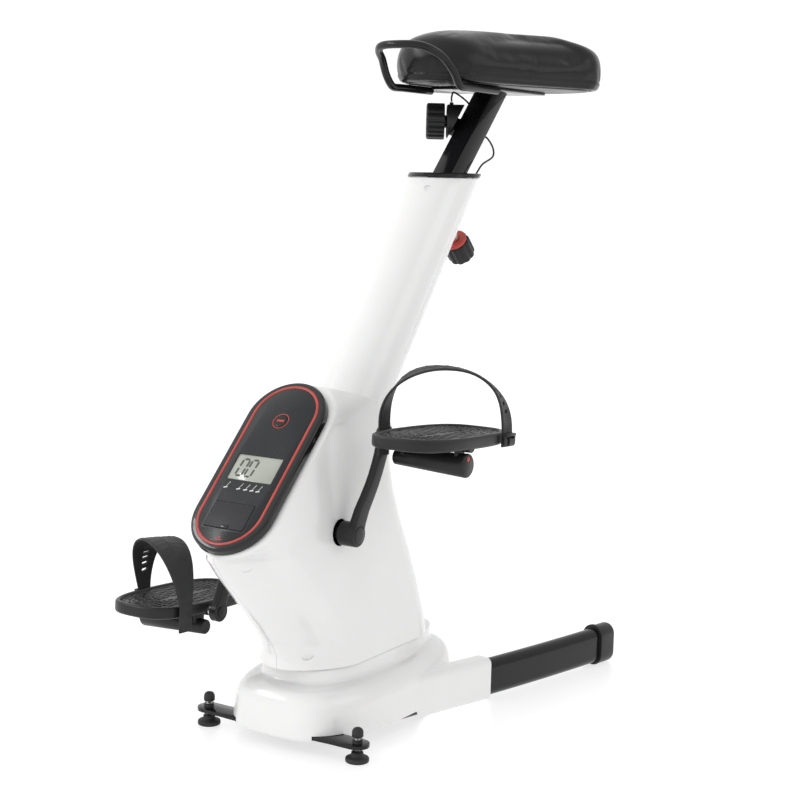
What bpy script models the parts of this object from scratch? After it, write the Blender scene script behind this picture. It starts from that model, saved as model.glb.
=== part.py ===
"""Desk exercise bike: a pedal trainer with a height-set seat, a leaning mast and a horseshoe base.

Metres, +Z up. -Y is the front, where the console is; +Y is the rear, under the seat.
+X is the rider's left. The origin is on the floor, under the middle of the whole bike.
"""
import math

import bmesh
import bpy
from mathutils import Matrix, Vector

# Clearances between pieces
GAP = 0.0003
RUNNING_GAP = 0.0006
SLIDE_GAP = 0.0005

# Where the floor origin lies, behind the line of the front feet
ORIGIN_BEHIND_FEET = 0.2638

# Base
FOOT_SPACING = 0.258
FOOT_PAD_DIAMETER = 0.033
FOOT_PAD_HEIGHT = 0.014
FOOT_STUD_DIAMETER = 0.008
FOOT_NUT_HEIGHT = 0.005
FOOT_NUT_ACROSS = 0.014
FOOT_CAP_DIAMETER = 0.016
FOOT_CAP_HEIGHT = 0.013
FOOT_CAP_CLEAR = 0.0038
FOOT_BAR_THICKNESS = 0.005
FOOT_BAR_WIDTH = 0.034
FOOT_BAR_BOTTOM = 0.0215
TUBE_CORNER_STEPS = 4
ARM_TUBE_HEIGHT = 0.058
ARM_TUBE_WIDTH = 0.028
ARM_TUBE_BOTTOM = 0.004
TUBE_WALL = 0.002
ARM_END_SPREAD = 0.203
ARM_END_BEHIND_FEET = 0.630
END_CAP_LENGTH = 0.034
END_CAP_TIP = 0.010
END_CAP_WALL = 0.003
END_CAP_FLANGE = 0.0025
END_CAP_FLANGE_LENGTH = 0.006
BASE_COVER_WIDTH = 0.232
BASE_COVER_FRONT = -0.030
BASE_COVER_REAR = 0.372
BASE_COVER_WALL = 0.003
BASE_COVER_BOTTOM = 0.017
SLEEVE_WALL = 0.0035
SLEEVE_REAR = 0.345

# Body and mast covers
BODY_BOTTOM = 0.110
BODY_WALL = 0.003
BODY_WIDTH_BOTTOM = 0.158
BODY_WIDTH_WAIST = 0.140
BODY_WIDTH_TOP = 0.118
SHOULDER_NORMAL = Vector((0.0, 0.297, 0.955))
MAST_TILT = math.radians(37.0)
MAST_INTO_BODY = 0.016
MAST_WIDTH = 0.100
MAST_DEPTH = 0.134
MAST_WALL = 0.003
MAST_TOP = 0.7925
MAST_TOP_BEHIND_FEET = 0.4055
COLLAR_THICKNESS = 0.0075
COLLAR_LIP = 0.0015

# Seat post and its guide
POST_TILT = math.radians(43.5)
POST_SIDE = 0.036
POST_WALL = 0.002
POST_BEHIND_MAST = 0.019
POST_AT_COLLAR_BEHIND_FEET = MAST_TOP_BEHIND_FEET + POST_BEHIND_MAST
POST_BELOW_COLLAR = 0.230
RECEIVER_WALL = 0.0025
RECEIVER_LENGTH = 0.230
SLEEVE_THICKNESS = 0.0025
POST_HOLE_DIAMETER = 0.0095
POST_HOLE_PITCH = 0.025
POST_HOLES = 6

# Console
CONSOLE_TILT = math.radians(44.5)
CONSOLE_LENGTH = 0.282
CONSOLE_WIDTH = 0.124
CONSOLE_DEPTH = 0.018
CELL_DIAMETER = 0.0105
CELL_LENGTH = 0.0445
CONSOLE_WALL = 0.004
CONSOLE_FACE_Y = -0.0614
CONSOLE_FACE_Z = 0.4071
CONSOLE_POCKET = 0.006
CONSOLE_SEAT = 0.008
POD_MARGIN = 0.006
RING_LENGTH = 0.266
RING_WIDTH = 0.104
RING_STROKE = 0.0022
RING_HEIGHT = 0.0012
LCD_WIDTH = 0.074
LCD_HEIGHT = 0.042
LCD_CENTRE = 0.0087
BUTTON_DIAMETER = 0.020
BUTTON_CENTRE = 0.0717
BUTTON_TRAVEL = 0.0015
BUTTON_HEIGHT = 0.0060
DOOR_WIDTH = 0.064
DOOR_HEIGHT = 0.040
DOOR_CENTRE = -0.0868
DOOR_THICKNESS = 0.003
DOOR_PROUD = 0.0012

# Drive
CRANK_Y = 0.036
CRANK_Z = 0.305
CRANK_RADIUS = 0.140
CRANK_ANGLE = math.radians(76.0)
CRANK_HUB_INNER = 0.0735
CRANK_HUB_OUTER = 0.1005
CRANK_END_INNER = 0.1100
CRANK_END_OUTER = 0.1225
CRANK_HUB_DIAMETER = 0.034
CRANK_ARM_THICKNESS = 0.012
AXLE_DIAMETER = 0.017
BRACKET_SHELL_DIAMETER = 0.040
BRACKET_SHELL_LENGTH = 0.052
SPINE_WIDTH = 0.045
PLATE_THICKNESS = 0.003
SPINE_DEPTH = 0.022
SPINE_Y = CRANK_Y + BRACKET_SHELL_DIAMETER / 2.0 + SPINE_DEPTH / 2.0 - 0.0015
BEARING_SEAT_DIAMETER = 0.034
PULLEY_DIAMETER = 0.150
PULLEY_WIDTH = 0.013
PULLEY_X = 0.0400
BELT_WIDTH = 0.009
BELT_THICKNESS = 0.003
SMALL_PULLEY_DIAMETER = 0.030
FLYWHEEL_Y = 0.172
FLYWHEEL_Z = 0.212
FLYWHEEL_DIAMETER = 0.160
FLYWHEEL_WIDTH = 0.018
FLYWHEEL_X = -0.002
FLYWHEEL_AXLE_DIAMETER = 0.010
BRAKE_GAP = 0.004
PIVOT_DIAMETER = 0.006
BRAKE_WIDTH = 0.034
BRAKE_THICKNESS = 0.004
MAGNET_SIZE = 0.016
MAGNET_THICKNESS = 0.0025

# Pedals
PEDAL_LENGTH = 0.232
PEDAL_WIDTH = 0.124
PEDAL_RIM = 0.017
PEDAL_FLOOR = 0.006
PEDAL_INNER_X = 0.1315
PEDAL_FORWARD = 0.018
PEDAL_TOP = 0.0125
PEDAL_TOE_UP = math.radians(3.0)
SPINDLE_DIAMETER = 0.012
SPINDLE_BOSS_DIAMETER = 0.0172
BARREL_DIAMETER = 0.033
BARREL_INNER_DIAMETER = 0.021
BARREL_LENGTH = 0.114
BARREL_DROP = 0.0265
REFLECTOR_DIAMETER = 0.008
REFLECTOR_ABOVE_BARREL = 0.009
REFLECTOR_THICKNESS = 0.003
STRAP_WIDTH = 0.054
STRAP_END_WIDTH = 0.026
STRAP_THICKNESS = 0.0035
STRAP_HEIGHT = 0.086
STRAP_INNER_FORWARD = {"left": 0.022, "right": 0.053}
STRAP_OUTER_BACK = {"left": 0.097, "right": 0.002}
STRAP_INNER_DROP = 0.036
STRAP_OUTER_DROP = 0.020
BUCKLE_LENGTH = 0.032
BUCKLE_HEIGHT = 0.018
BUCKLE_THICKNESS = 0.006

# Seat
SEAT_LENGTH = 0.354
SEAT_REAR_WIDTH = 0.334
SEAT_NOSE_WIDTH = 0.120
SEAT_THICKNESS = 0.0795
SEAT_BOTTOM = 0.9345
SEAT_RECESS = 0.010
SEAT_NOSE_AHEAD_OF_POST = 0.0935
SEAT_FRONT_BEHIND_FEET = POST_AT_COLLAR_BEHIND_FEET - SEAT_NOSE_AHEAD_OF_POST
BOARD_THICKNESS = 0.010
BRACKET_THICKNESS = 0.004
BRACKET_LENGTH = 0.190
HANDLE_TUBE = 0.012
HANDLE_WIDTH = 0.120
HANDLE_REACH = 0.069
HANDLE_RISE = 0.984
HANDLE_REAR = 0.128

# Tension control and pull pin
TENSION_DIAMETER = 0.054
TENSION_HOUSING_LENGTH = 0.015
TENSION_KNOB_DIAMETER = 0.057
TENSION_KNOB_LENGTH = 0.029
TENSION_FLUTES = 14
TENSION_SWING = math.radians(32.0)
TENSION_ALONG_POST = 0.092
TENSION_OFF_CORNER = 0.0035
CABLE_DIAMETER = 0.003
PULL_KNOB_DIAMETER = 0.044
PULL_KNOB_LENGTH = 0.034
PULL_ALONG_POST = -0.062
PULL_NECK = 0.034
PULL_RING_LENGTH = 0.006
PULL_BARREL_DIAMETER = 0.018
PULL_PIN_DIAMETER = 0.008
PULL_FLUTES = 10


for old in list(bpy.data.objects):
    bpy.data.objects.remove(old, do_unlink=True)

bike = bpy.data.objects.new("bike", None)
bpy.context.collection.objects.link(bike)
bike.location = (0.0, -ORIGIN_BEHIND_FEET, 0.0)


# Materials
def paint(name, colour, roughness, metallic=0.0):
    made = bpy.data.materials.get(name)
    if made:
        return made
    made = bpy.data.materials.new(name)
    made.use_nodes = True
    shader = made.node_tree.nodes["Principled BSDF"]
    shader.inputs["Base Color"].default_value = (*colour, 1.0)
    shader.inputs["Roughness"].default_value = roughness
    shader.inputs["Metallic"].default_value = metallic
    return made


WHITE = paint("white_plastic", (0.90, 0.90, 0.89), 0.25)
BLACK_GLOSS = paint("black_gloss_plastic", (0.012, 0.012, 0.013), 0.15)
BLACK_PLASTIC = paint("black_plastic", (0.02, 0.02, 0.02), 0.5)
BLACK_PAINT = paint("black_paint", (0.012, 0.012, 0.012), 0.25)
BLACK_RUBBER = paint("black_rubber", (0.02, 0.02, 0.02), 0.8)
LEATHER = paint("black_leather", (0.015, 0.015, 0.015), 0.4)
RED = paint("red_plastic", (0.60, 0.02, 0.015), 0.35)
STEEL = paint("zinc_steel", (0.60, 0.60, 0.58), 0.35, 1.0)
IRON = paint("cast_iron", (0.16, 0.16, 0.16), 0.5, 1.0)
LCD_GREY = paint("lcd_window", (0.45, 0.48, 0.45), 0.15)
BOARD_GREEN = paint("circuit_board", (0.02, 0.18, 0.06), 0.5)


# Making and placing solids
def add(name, mesh_builder, material, smooth=True, keep=True):
    """A new object from a bmesh, hung on the bike's empty."""
    mesh = bpy.data.meshes.new(name)
    bmesh.ops.recalc_face_normals(mesh_builder, faces=mesh_builder.faces)
    mesh_builder.to_mesh(mesh)
    mesh_builder.free()
    made = bpy.data.objects.new(name, mesh)
    bpy.context.collection.objects.link(made)
    made.parent = bike
    mesh.materials.append(material)
    if smooth:
        mesh.shade_smooth()
        mesh.set_sharp_from_angle(angle=math.radians(35.0))
    if not keep:
        made.hide_render = True
        made.display_type = "WIRE"
    return made


def cut(body, cutter, operation="DIFFERENCE"):
    step = body.modifiers.new(cutter.name, "BOOLEAN")
    step.operation = operation
    step.object = cutter
    return body


def cutter_from(name, mesh_builder):
    return add(name + "_cut", mesh_builder, BLACK_PLASTIC, smooth=False, keep=False)


def ring_loft(rings, bm=None, closed_ends=True):
    """A closed skin through rings that all have the same number of points."""
    bm = bm or bmesh.new()
    rows = [[bm.verts.new(point) for point in ring] for ring in rings]
    count = len(rows[0])
    for low, high in zip(rows, rows[1:]):
        for i in range(count):
            j = (i + 1) % count
            bm.faces.new((low[i], low[j], high[j], high[i]))
    if closed_ends:
        bm.faces.new(list(reversed(rows[0])))
        bm.faces.new(rows[-1])
    return bm


def circle(radius, count=24, start=0.0):
    turn = 2.0 * math.pi / count
    return [(radius * math.cos(start + i * turn), radius * math.sin(start + i * turn)) for i in range(count)]


def stadium(length, width, corner_steps=8):
    """Outline of two half circles and two straight sides, long along the first axis."""
    radius = width / 2.0
    straight = length / 2.0 - radius
    points = []
    for side in (1, -1):
        for i in range(corner_steps + 1):
            angle = -math.pi / 2.0 + math.pi * i / corner_steps
            if side < 0:
                angle += math.pi
            points.append((side * straight + radius * math.cos(angle), radius * math.sin(angle)))
    return points


def rounded_rectangle(length, width, radius, corner_steps=3):
    points = []
    for sx, sy, start in ((1, -1, -90), (1, 1, 0), (-1, 1, 90), (-1, -1, 180)):
        for i in range(corner_steps + 1):
            angle = math.radians(start + 90.0 * i / corner_steps)
            x = sx * (length / 2.0 - radius) + radius * math.cos(angle)
            y = sy * (width / 2.0 - radius) + radius * math.sin(angle)
            points.append((x, y))
    return points


def prism(outline, low, high, frame=None, bm=None, bevel=0.0, bevel_low=0.0):
    """An outline raised from low to high along the frame's third axis, with drawn-in edges."""
    frame = frame or Matrix.Identity(4)
    levels = []
    if bevel_low:
        levels += [(low, bevel_low), (low + bevel_low, 0.0)]
    else:
        levels += [(low, 0.0)]
    if bevel:
        levels += [(high - bevel, 0.0), (high, bevel)]
    else:
        levels += [(high, 0.0)]
    reach_a = max(abs(a) for a, b in outline)
    reach_b = max(abs(b) for a, b in outline)
    rings = []
    for level, draw in levels:
        fa = (reach_a - draw) / reach_a
        fb = (reach_b - draw) / reach_b
        rings.append([frame @ Vector((a * fa, b * fb, level)) for a, b in outline])
    return ring_loft(rings, bm)


def turned(profile, frame=None, count=24, bm=None):
    """A solid turned about the frame's third axis from (radius, height) points, both ends on the axis."""
    frame = frame or Matrix.Identity(4)
    bm = bm or bmesh.new()
    rows = []
    for radius, height in profile:
        if radius < 1e-6:
            rows.append([bm.verts.new(frame @ Vector((0.0, 0.0, height)))])
        else:
            rows.append([bm.verts.new(frame @ Vector((x, y, height))) for x, y in circle(radius, count)])
    for low, high in zip(rows, rows[1:]):
        for i in range(count):
            j = (i + 1) % count
            if len(low) == 1 and len(high) == 1:
                continue
            if len(low) == 1:
                bm.faces.new((low[0], high[j], high[i]))
            elif len(high) == 1:
                bm.faces.new((low[i], low[j], high[0]))
            else:
                bm.faces.new((low[i], low[j], high[j], high[i]))
    return bm


def ring_solid(profile, frame=None, count=24, bm=None):
    """A ring turned about the frame's third axis from a closed (radius, height) outline."""
    frame = frame or Matrix.Identity(4)
    bm = bm or bmesh.new()
    rows = [[bm.verts.new(frame @ Vector((x, y, height))) for x, y in circle(radius, count)]
            for radius, height in profile]
    for k in range(len(rows)):
        low = rows[k]
        high = rows[(k + 1) % len(rows)]
        for i in range(count):
            j = (i + 1) % count
            bm.faces.new((low[i], low[j], high[j], high[i]))
    return bm


def tube_ring(outer, inner, low, high, frame=None, count=24, bm=None):
    return ring_solid([(outer, low), (outer, high), (inner, high), (inner, low)], frame, count, bm)


def aimed(origin, direction, side=(1.0, 0.0, 0.0)):
    """A frame at origin whose third axis is the direction and whose first axis leans to side."""
    third = Vector(direction).normalized()
    first = Vector(side) - third * third.dot(Vector(side))
    first.normalize()
    second = third.cross(first)
    rows = [[first[i], second[i], third[i], Vector(origin)[i]] for i in range(3)]
    return Matrix(rows + [[0.0, 0.0, 0.0, 1.0]])


def swept(path, outline, up=(0.0, 0.0, 1.0), bm=None):
    """An outline (across, up) carried along a path of points, closed at both ends."""
    rings = []
    across = None
    for k, point in enumerate(path):
        before = path[max(k - 1, 0)]
        after = path[min(k + 1, len(path) - 1)]
        along = (Vector(after) - Vector(before)).normalized()
        across = along.cross(Vector(up)) if across is None else across - along * across.dot(along)
        across.normalize()
        rise = across.cross(along)
        rings.append([Vector(point) + across * a + rise * b for a, b in outline])
    return ring_loft(rings, bm)


def smooth_path(points, steps):
    """Points on a Catmull-Rom curve through the given ones."""
    knots = [Vector(p) for p in points]
    knots = [knots[0] * 2.0 - knots[1]] + knots + [knots[-1] * 2.0 - knots[-2]]
    path = []
    for k in range(1, len(knots) - 2):
        a, b, c, d = knots[k - 1:k + 3]
        for i in range(steps):
            t = i / steps
            path.append(0.5 * (2.0 * b + (c - a) * t + (2.0 * a - 5.0 * b + 4.0 * c - d) * t * t
                               + (3.0 * b - a - 3.0 * c + d) * t ** 3))
    path.append(knots[-2])
    return path


def blend_values(table, z):
    """A value read between the (z, value) pairs of a table, smoothly."""
    if z <= table[0][0]:
        return table[0][1]
    for (z0, v0), (z1, v1) in zip(table, table[1:]):
        if z <= z1:
            t = (z - z0) / (z1 - z0)
            return v0 + (v1 - v0) * t
    return table[-1][1]


def x_axis_frame(x, y, z, direction=1.0):
    return aimed((x, y, z), (direction, 0.0, 0.0), (0.0, 1.0, 0.0))


# Reference lines that several pieces share
POST_AXIS = Vector((0.0, math.sin(POST_TILT), math.cos(POST_TILT)))
POST_FRONT = Vector((0.0, -math.cos(POST_TILT), math.sin(POST_TILT)))
COLLAR_TOP = MAST_TOP + COLLAR_THICKNESS
POST_ORIGIN = Vector((0.0, POST_AT_COLLAR_BEHIND_FEET, COLLAR_TOP))
MAST_AXIS = Vector((0.0, math.sin(MAST_TILT), math.cos(MAST_TILT)))
MAST_ORIGIN = Vector((0.0, MAST_TOP_BEHIND_FEET, MAST_TOP))
CONSOLE_OUT = Vector((0.0, -math.cos(CONSOLE_TILT), math.sin(CONSOLE_TILT)))
CONSOLE_UP = Vector((0.0, math.sin(CONSOLE_TILT), math.cos(CONSOLE_TILT)))
CONSOLE_ORIGIN = Vector((0.0, CONSOLE_FACE_Y, CONSOLE_FACE_Z))
CONSOLE_FRAME = aimed(CONSOLE_ORIGIN, CONSOLE_OUT, CONSOLE_UP)


def along_post(distance, x=0.0, forward=0.0):
    return POST_ORIGIN + POST_AXIS * distance + POST_FRONT * forward + Vector((x, 0.0, 0.0))


def console_point(up, side=0.0, out=0.0):
    return CONSOLE_ORIGIN + CONSOLE_UP * up + CONSOLE_OUT * out + Vector((side, 0.0, 0.0))


# Horseshoe base tube and its end caps
def arm_path(side):
    spread = ARM_END_SPREAD
    rear = ARM_END_BEHIND_FEET
    half = [(0.0, SPINE_Y), (0.046, SPINE_Y + 0.018), (0.080, 0.140), (0.108, 0.240), (0.137, 0.338),
            (0.166, 0.452), (0.190, 0.560)]
    half = [(x * spread / 0.203, y) for x, y in half] + [(spread, rear)]
    middle = ARM_TUBE_BOTTOM + ARM_TUBE_HEIGHT / 2.0
    return [Vector((side * x, y, middle)) for x, y in half]


def tube_outline(height, width):
    return [(b, a) for a, b in stadium(height, width, TUBE_CORNER_STEPS)]


def tube_hole(height, width):
    return stadium(height + 2.0 * GAP, width + 2.0 * GAP, TUBE_CORNER_STEPS)


left_half = arm_path(1.0)
right_half = arm_path(-1.0)
horseshoe = smooth_path(list(reversed(right_half)) + left_half[1:], 2)
base_tube = add("base_tube", swept(horseshoe, tube_outline(ARM_TUBE_HEIGHT, ARM_TUBE_WIDTH)), BLACK_PAINT)
bore_path = [horseshoe[0] * 2.0 - horseshoe[1]] + horseshoe + [horseshoe[-1] * 2.0 - horseshoe[-2]]
tube_inside = swept(bore_path, tube_outline(ARM_TUBE_HEIGHT - 2.0 * TUBE_WALL, ARM_TUBE_WIDTH - 2.0 * TUBE_WALL))
cut(base_tube, cutter_from("tube_inside", tube_inside))


def cap_frame(side):
    tip = Vector((side * ARM_END_SPREAD, ARM_END_BEHIND_FEET, ARM_TUBE_BOTTOM + ARM_TUBE_HEIGHT / 2.0))
    path = arm_path(side)
    return aimed(tip, path[-1] - path[-2], (0.0, 0.0, 1.0))


cap_height = ARM_TUBE_HEIGHT + END_CAP_WALL + ARM_TUBE_BOTTOM
cap_width = ARM_TUBE_WIDTH + 2.0 * END_CAP_WALL
cap_shift = (END_CAP_WALL - ARM_TUBE_BOTTOM) / 2.0
for name, side in (("left_end_cap", 1.0), ("right_end_cap", -1.0)):
    lower = cap_frame(side) @ Matrix.Translation((cap_shift, 0.0, 0.0))
    cap_body = prism(stadium(cap_height, cap_width), -END_CAP_LENGTH, END_CAP_TIP, lower, bevel=0.006)
    end_cap = add(name, cap_body, BLACK_PLASTIC)
    raised = cap_frame(side) @ Matrix.Translation((cap_shift + END_CAP_FLANGE / 2.0 + GAP, 0.0, 0.0))
    flange = prism(stadium(cap_height + END_CAP_FLANGE - 2.0 * GAP, cap_width + 2.0 * END_CAP_FLANGE),
                   -END_CAP_LENGTH - GAP, END_CAP_FLANGE_LENGTH - END_CAP_LENGTH, raised)
    cut(end_cap, cutter_from(name + "_flange", flange), "UNION")
    hollow = prism(tube_hole(ARM_TUBE_HEIGHT, ARM_TUBE_WIDTH), -END_CAP_LENGTH - 0.01, GAP, cap_frame(side))
    cut(end_cap, cutter_from(name + "_hollow", hollow))


# Flat bar across the front and the two levelling feet in it
BAR_TOP = FOOT_BAR_BOTTOM + FOOT_BAR_THICKNESS


def bar_outline(grow):
    """The bar from above: round ends at the feet, and a front edge that steps back inside the cover."""
    front = BASE_COVER_FRONT + 0.012 - grow
    step = FOOT_SPACING / 2.0 - FOOT_BAR_WIDTH * 1.5
    round_ends = stadium(FOOT_SPACING + FOOT_BAR_WIDTH + 2.0 * grow, FOOT_BAR_WIDTH + 2.0 * grow)
    edge = -FOOT_BAR_WIDTH / 2.0 - grow
    return round_ends + [(-step - 0.016, edge), (-step, front), (step, front), (step + 0.016, edge)]


foot_bar = add("foot_bar", prism(bar_outline(0.0), FOOT_BAR_BOTTOM, BAR_TOP), BLACK_PAINT)
web_low = FOOT_BAR_BOTTOM + FOOT_BAR_THICKNESS / 2.0
web_path = [Vector((0.0, 0.0, web_low)), Vector((0.0, 0.02, web_low)), Vector((0.0, SPINE_Y - ARM_TUBE_WIDTH / 2.0
            - GAP, web_low))]
web = cutter_from("foot_bar_web", swept(web_path, rounded_rectangle(0.060, FOOT_BAR_THICKNESS - 2 * GAP, 0.002)))
cut(foot_bar, web, "UNION")
for side in (1.0, -1.0):
    hole_frame = Matrix.Translation((side * FOOT_SPACING / 2.0, 0.0, 0.0))
    nut_radius = FOOT_NUT_ACROSS / 2.0 / math.cos(math.pi / 6.0)
    nut = prism(circle(nut_radius, 6), BAR_TOP - 0.001, BAR_TOP + FOOT_NUT_HEIGHT, hole_frame)
    cut(foot_bar, cutter_from("foot_nut", nut), "UNION")
    hole = prism(circle(FOOT_STUD_DIAMETER / 2.0 + SLIDE_GAP, 16), 0.0, 0.06, hole_frame)
    cut(foot_bar, cutter_from("foot_bar_hole", hole))


def levelling_foot(label, side):
    at = Matrix.Translation((side * FOOT_SPACING / 2.0, 0.0, 0.0))
    pad = FOOT_PAD_DIAMETER / 2.0
    stud = FOOT_STUD_DIAMETER / 2.0
    profile = [(0.0, 0.0), (pad - 0.001, 0.0), (pad, 0.002), (pad, 0.005), (pad * 0.62, 0.008),
               (pad * 0.50, FOOT_PAD_HEIGHT), (0.0, FOOT_PAD_HEIGHT)]
    add(label + "_foot_pad", turned(profile, at, 20), BLACK_RUBBER)
    cap_low = BAR_TOP + FOOT_NUT_HEIGHT + FOOT_CAP_CLEAR
    stud_profile = [(0.0, FOOT_PAD_HEIGHT + GAP), (stud, FOOT_PAD_HEIGHT + GAP), (stud, cap_low - GAP),
                    (0.0, cap_low - GAP)]
    add(label + "_foot_stud", turned(stud_profile, at, 12), STEEL)
    dome = FOOT_CAP_DIAMETER / 2.0
    top = cap_low + FOOT_CAP_HEIGHT
    cap_profile = [(0.0, cap_low), (dome, cap_low), (dome, cap_low + 0.005), (dome * 0.85, top - 0.003),
                   (dome * 0.5, top - 0.0006), (0.0, top)]
    add(label + "_foot_cap", turned(cap_profile, at, 18), BLACK_RUBBER)


levelling_foot("left", 1.0)
levelling_foot("right", -1.0)


# White cover over the bend of the horseshoe, with a sleeve round each arm
def cover_ring(z, grow, count=22):
    half = BASE_COVER_WIDTH / 2.0 - grow
    front = BASE_COVER_FRONT + grow
    rear = BASE_COVER_REAR - grow * 0.8
    middle = (front + rear) / 2.0
    reach = (rear - front) / 2.0
    points = []
    for i in range(count):
        angle = 2.0 * math.pi * i / count
        cx = math.cos(angle)
        cy = math.sin(angle)
        x = half * math.copysign(abs(cx) ** 0.55, cx)
        y = middle + reach * math.copysign(abs(cy) ** 0.80, cy)
        narrow = 1.0 - 0.14 * max(0.0, (y - middle) / reach)
        points.append(Vector((x * narrow, y, z)))
    return points


cover_profile = [(BASE_COVER_BOTTOM, 0.002), (BASE_COVER_BOTTOM + 0.003, 0.0), (0.060, 0.004), (0.071, 0.008),
                 (0.079, 0.015), (0.084, 0.025), (0.087, 0.037), (BODY_BOTTOM - GAP, 0.038)]
cover_outer = ring_loft([cover_ring(z, grow) for z, grow in cover_profile])
base_cover = add("base_cover", cover_outer, WHITE)


def arm_stretch(side, first, last, steps=3):
    path = smooth_path(arm_path(side), steps)
    return [p for p in path if first <= p.y <= last]


for side in (1.0, -1.0):
    sleeve_shape = rounded_rectangle(ARM_TUBE_WIDTH + 2 * GAP + 2 * SLEEVE_WALL,
                                     ARM_TUBE_HEIGHT + 2 * GAP + 2 * SLEEVE_WALL, 0.012)
    stretch = arm_stretch(side, 0.140, SLEEVE_REAR)
    lifted = [p + Vector((0.0, 0.0, 0.0015)) for p in stretch]
    sleeve = cutter_from("sleeve", swept(lifted, sleeve_shape))
    cut(base_cover, sleeve, "UNION")
inner_profile = [(BASE_COVER_BOTTOM - 0.02, 0.000), (BASE_COVER_BOTTOM + 0.003, 0.0), (0.058, 0.004), (0.069, 0.008),
                 (0.077, 0.016), (0.083, 0.037), (BODY_BOTTOM - GAP - 0.004, 0.038)]
cover_inner = ring_loft([cover_ring(z, grow + BASE_COVER_WALL) for z, grow in inner_profile])
cut(base_cover, cutter_from("base_cover", cover_inner))
bar_slot = prism(bar_outline(2.0 * GAP), FOOT_BAR_BOTTOM - GAP, BAR_TOP + GAP)
cut(base_cover, cutter_from("bar_slot", bar_slot))
for side in (1.0, -1.0):
    bore = tube_outline(ARM_TUBE_HEIGHT + 2 * GAP, ARM_TUBE_WIDTH + 2 * GAP)
    through = arm_stretch(side, 0.110, SLEEVE_REAR + 0.08)
    cut(base_cover, cutter_from("sleeve_bore", swept(through, bore)))

# Body shells: rings from the base cover up to the joint with the mast
POD_BACK = CONSOLE_DEPTH - CONSOLE_POCKET
pod_face = CONSOLE_ORIGIN - CONSOLE_OUT * (POD_BACK + GAP)


def pod_front(z):
    return pod_face.y + (z - pod_face.z) * math.tan(CONSOLE_TILT)


def console_half_width(z, radius, half_length):
    """Half width of the console's outline at a height on its slanted face."""
    up = (z - pod_face.z) / math.cos(CONSOLE_TILT)
    over = abs(up) - (half_length - radius)
    if over <= 0.0:
        return radius
    if over >= radius:
        return 0.0
    return math.sqrt(radius * radius - over * over)


pod_half = CONSOLE_LENGTH / 2.0 + POD_MARGIN
pod_radius = CONSOLE_WIDTH / 2.0 + POD_MARGIN
pod_low = pod_face.z - pod_half * math.cos(CONSOLE_TILT)
pod_top = pod_face.z + pod_half * math.cos(CONSOLE_TILT)
FRONT_LINE = [(0.100, -0.014), (0.125, -0.0125), (0.145, -0.0226), (0.175, -0.048), (0.205, -0.0776),
              (0.235, -0.107), (0.262, -0.134), (pod_low - 0.006, pod_front(pod_low) + 0.001),
              (pod_low, pod_front(pod_low))]
REAR_LINE = [(0.100, 0.312), (0.14, 0.304), (0.20, 0.283), (0.25, 0.262), (0.30, 0.238), (0.34, 0.222),
             (0.38, 0.212), (0.42, 0.214), (0.46, 0.235), (0.50, 0.262), (0.54, 0.290)]
NOSE_LINE = [(0.100, 0.060), (0.14, 0.050), (0.19, 0.040), (0.25, 0.030), (pod_low - 0.006, 0.020), (pod_low, 0.012)]
FRONT_RADIUS = [(0.100, 0.075), (0.16, 0.070), (0.25, 0.055), (pod_low, 0.020), (0.31, 0.006), (0.50, 0.006)]


def body_half_width(z):
    return blend_values([(0.10, BODY_WIDTH_BOTTOM / 2.0), (0.30, BODY_WIDTH_WAIST / 2.0),
                         (0.44, BODY_WIDTH_WAIST / 2.0 - 0.004), (0.54, BODY_WIDTH_TOP / 2.0)], z)


def half_ring(z, inset, side, middle, half_count=12):
    """One half of the body's outline at a height, closed by a line at x = middle."""
    if z < pod_low:
        front = blend_values(FRONT_LINE, z)
        nose = blend_values(NOSE_LINE, z)
    else:
        front = pod_front(min(z, pod_top))
        nose = max(0.012, console_half_width(z, pod_radius, pod_half))
        if z > pod_top:
            nose = 0.030
    front += inset
    rear = blend_values(REAR_LINE, z) - inset
    wide = body_half_width(z) - inset
    nose = max(nose - inset * 0.5, 0.008)
    length = rear - front
    front_radius = blend_values(FRONT_RADIUS, z)
    rear_radius = 0.070
    flare = 0.095
    points = [Vector((side * middle, front, z))]
    for i in range(1, half_count):
        run = (1.0 - math.cos(math.pi * i / half_count)) / 2.0 * length
        grow = min(run / flare, 1.0)
        grow = grow * grow * (3.0 - 2.0 * grow)
        half = nose + (wide - nose) * max(grow, min(run / 0.05, 1.0) * 0.55)
        if run < front_radius:
            half *= math.sqrt(max(0.0, 1.0 - (1.0 - run / front_radius) ** 2))
        if length - run < rear_radius:
            half *= math.sqrt(max(0.0, 1.0 - (1.0 - (length - run) / rear_radius) ** 2))
        points.append(Vector((side * half, front + run, z)))
    points.append(Vector((side * middle, rear, z)))
    return points


BODY_LEVELS = [BODY_BOTTOM, 0.130, 0.165, 0.205, 0.245, 0.272, pod_low - 0.006, pod_low, pod_low + 0.005,
               pod_low + 0.016, 0.345, 0.400, 0.440, 0.474, 0.490, pod_top - 0.004, pod_top, 0.545]
joint_centre = Vector((0.0, 0.111, 0.4835))
shoulder_centre = Vector((0.0, 0.080, 0.4930))


def side_frame(lift, centre, normal):
    return aimed(centre + normal.normalized() * lift, normal)


def cut_above(body, name, lift, reach=0.6):
    """Takes away what lies above the two planes where the body's top ends."""
    for part, centre, normal in (("joint", joint_centre, MAST_AXIS), ("shoulder", shoulder_centre, SHOULDER_NORMAL)):
        block = prism(rounded_rectangle(reach, reach, 0.01), 0.0, reach, side_frame(lift, centre, normal))
        cut(body, cutter_from(name + "_" + part, block))


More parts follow.
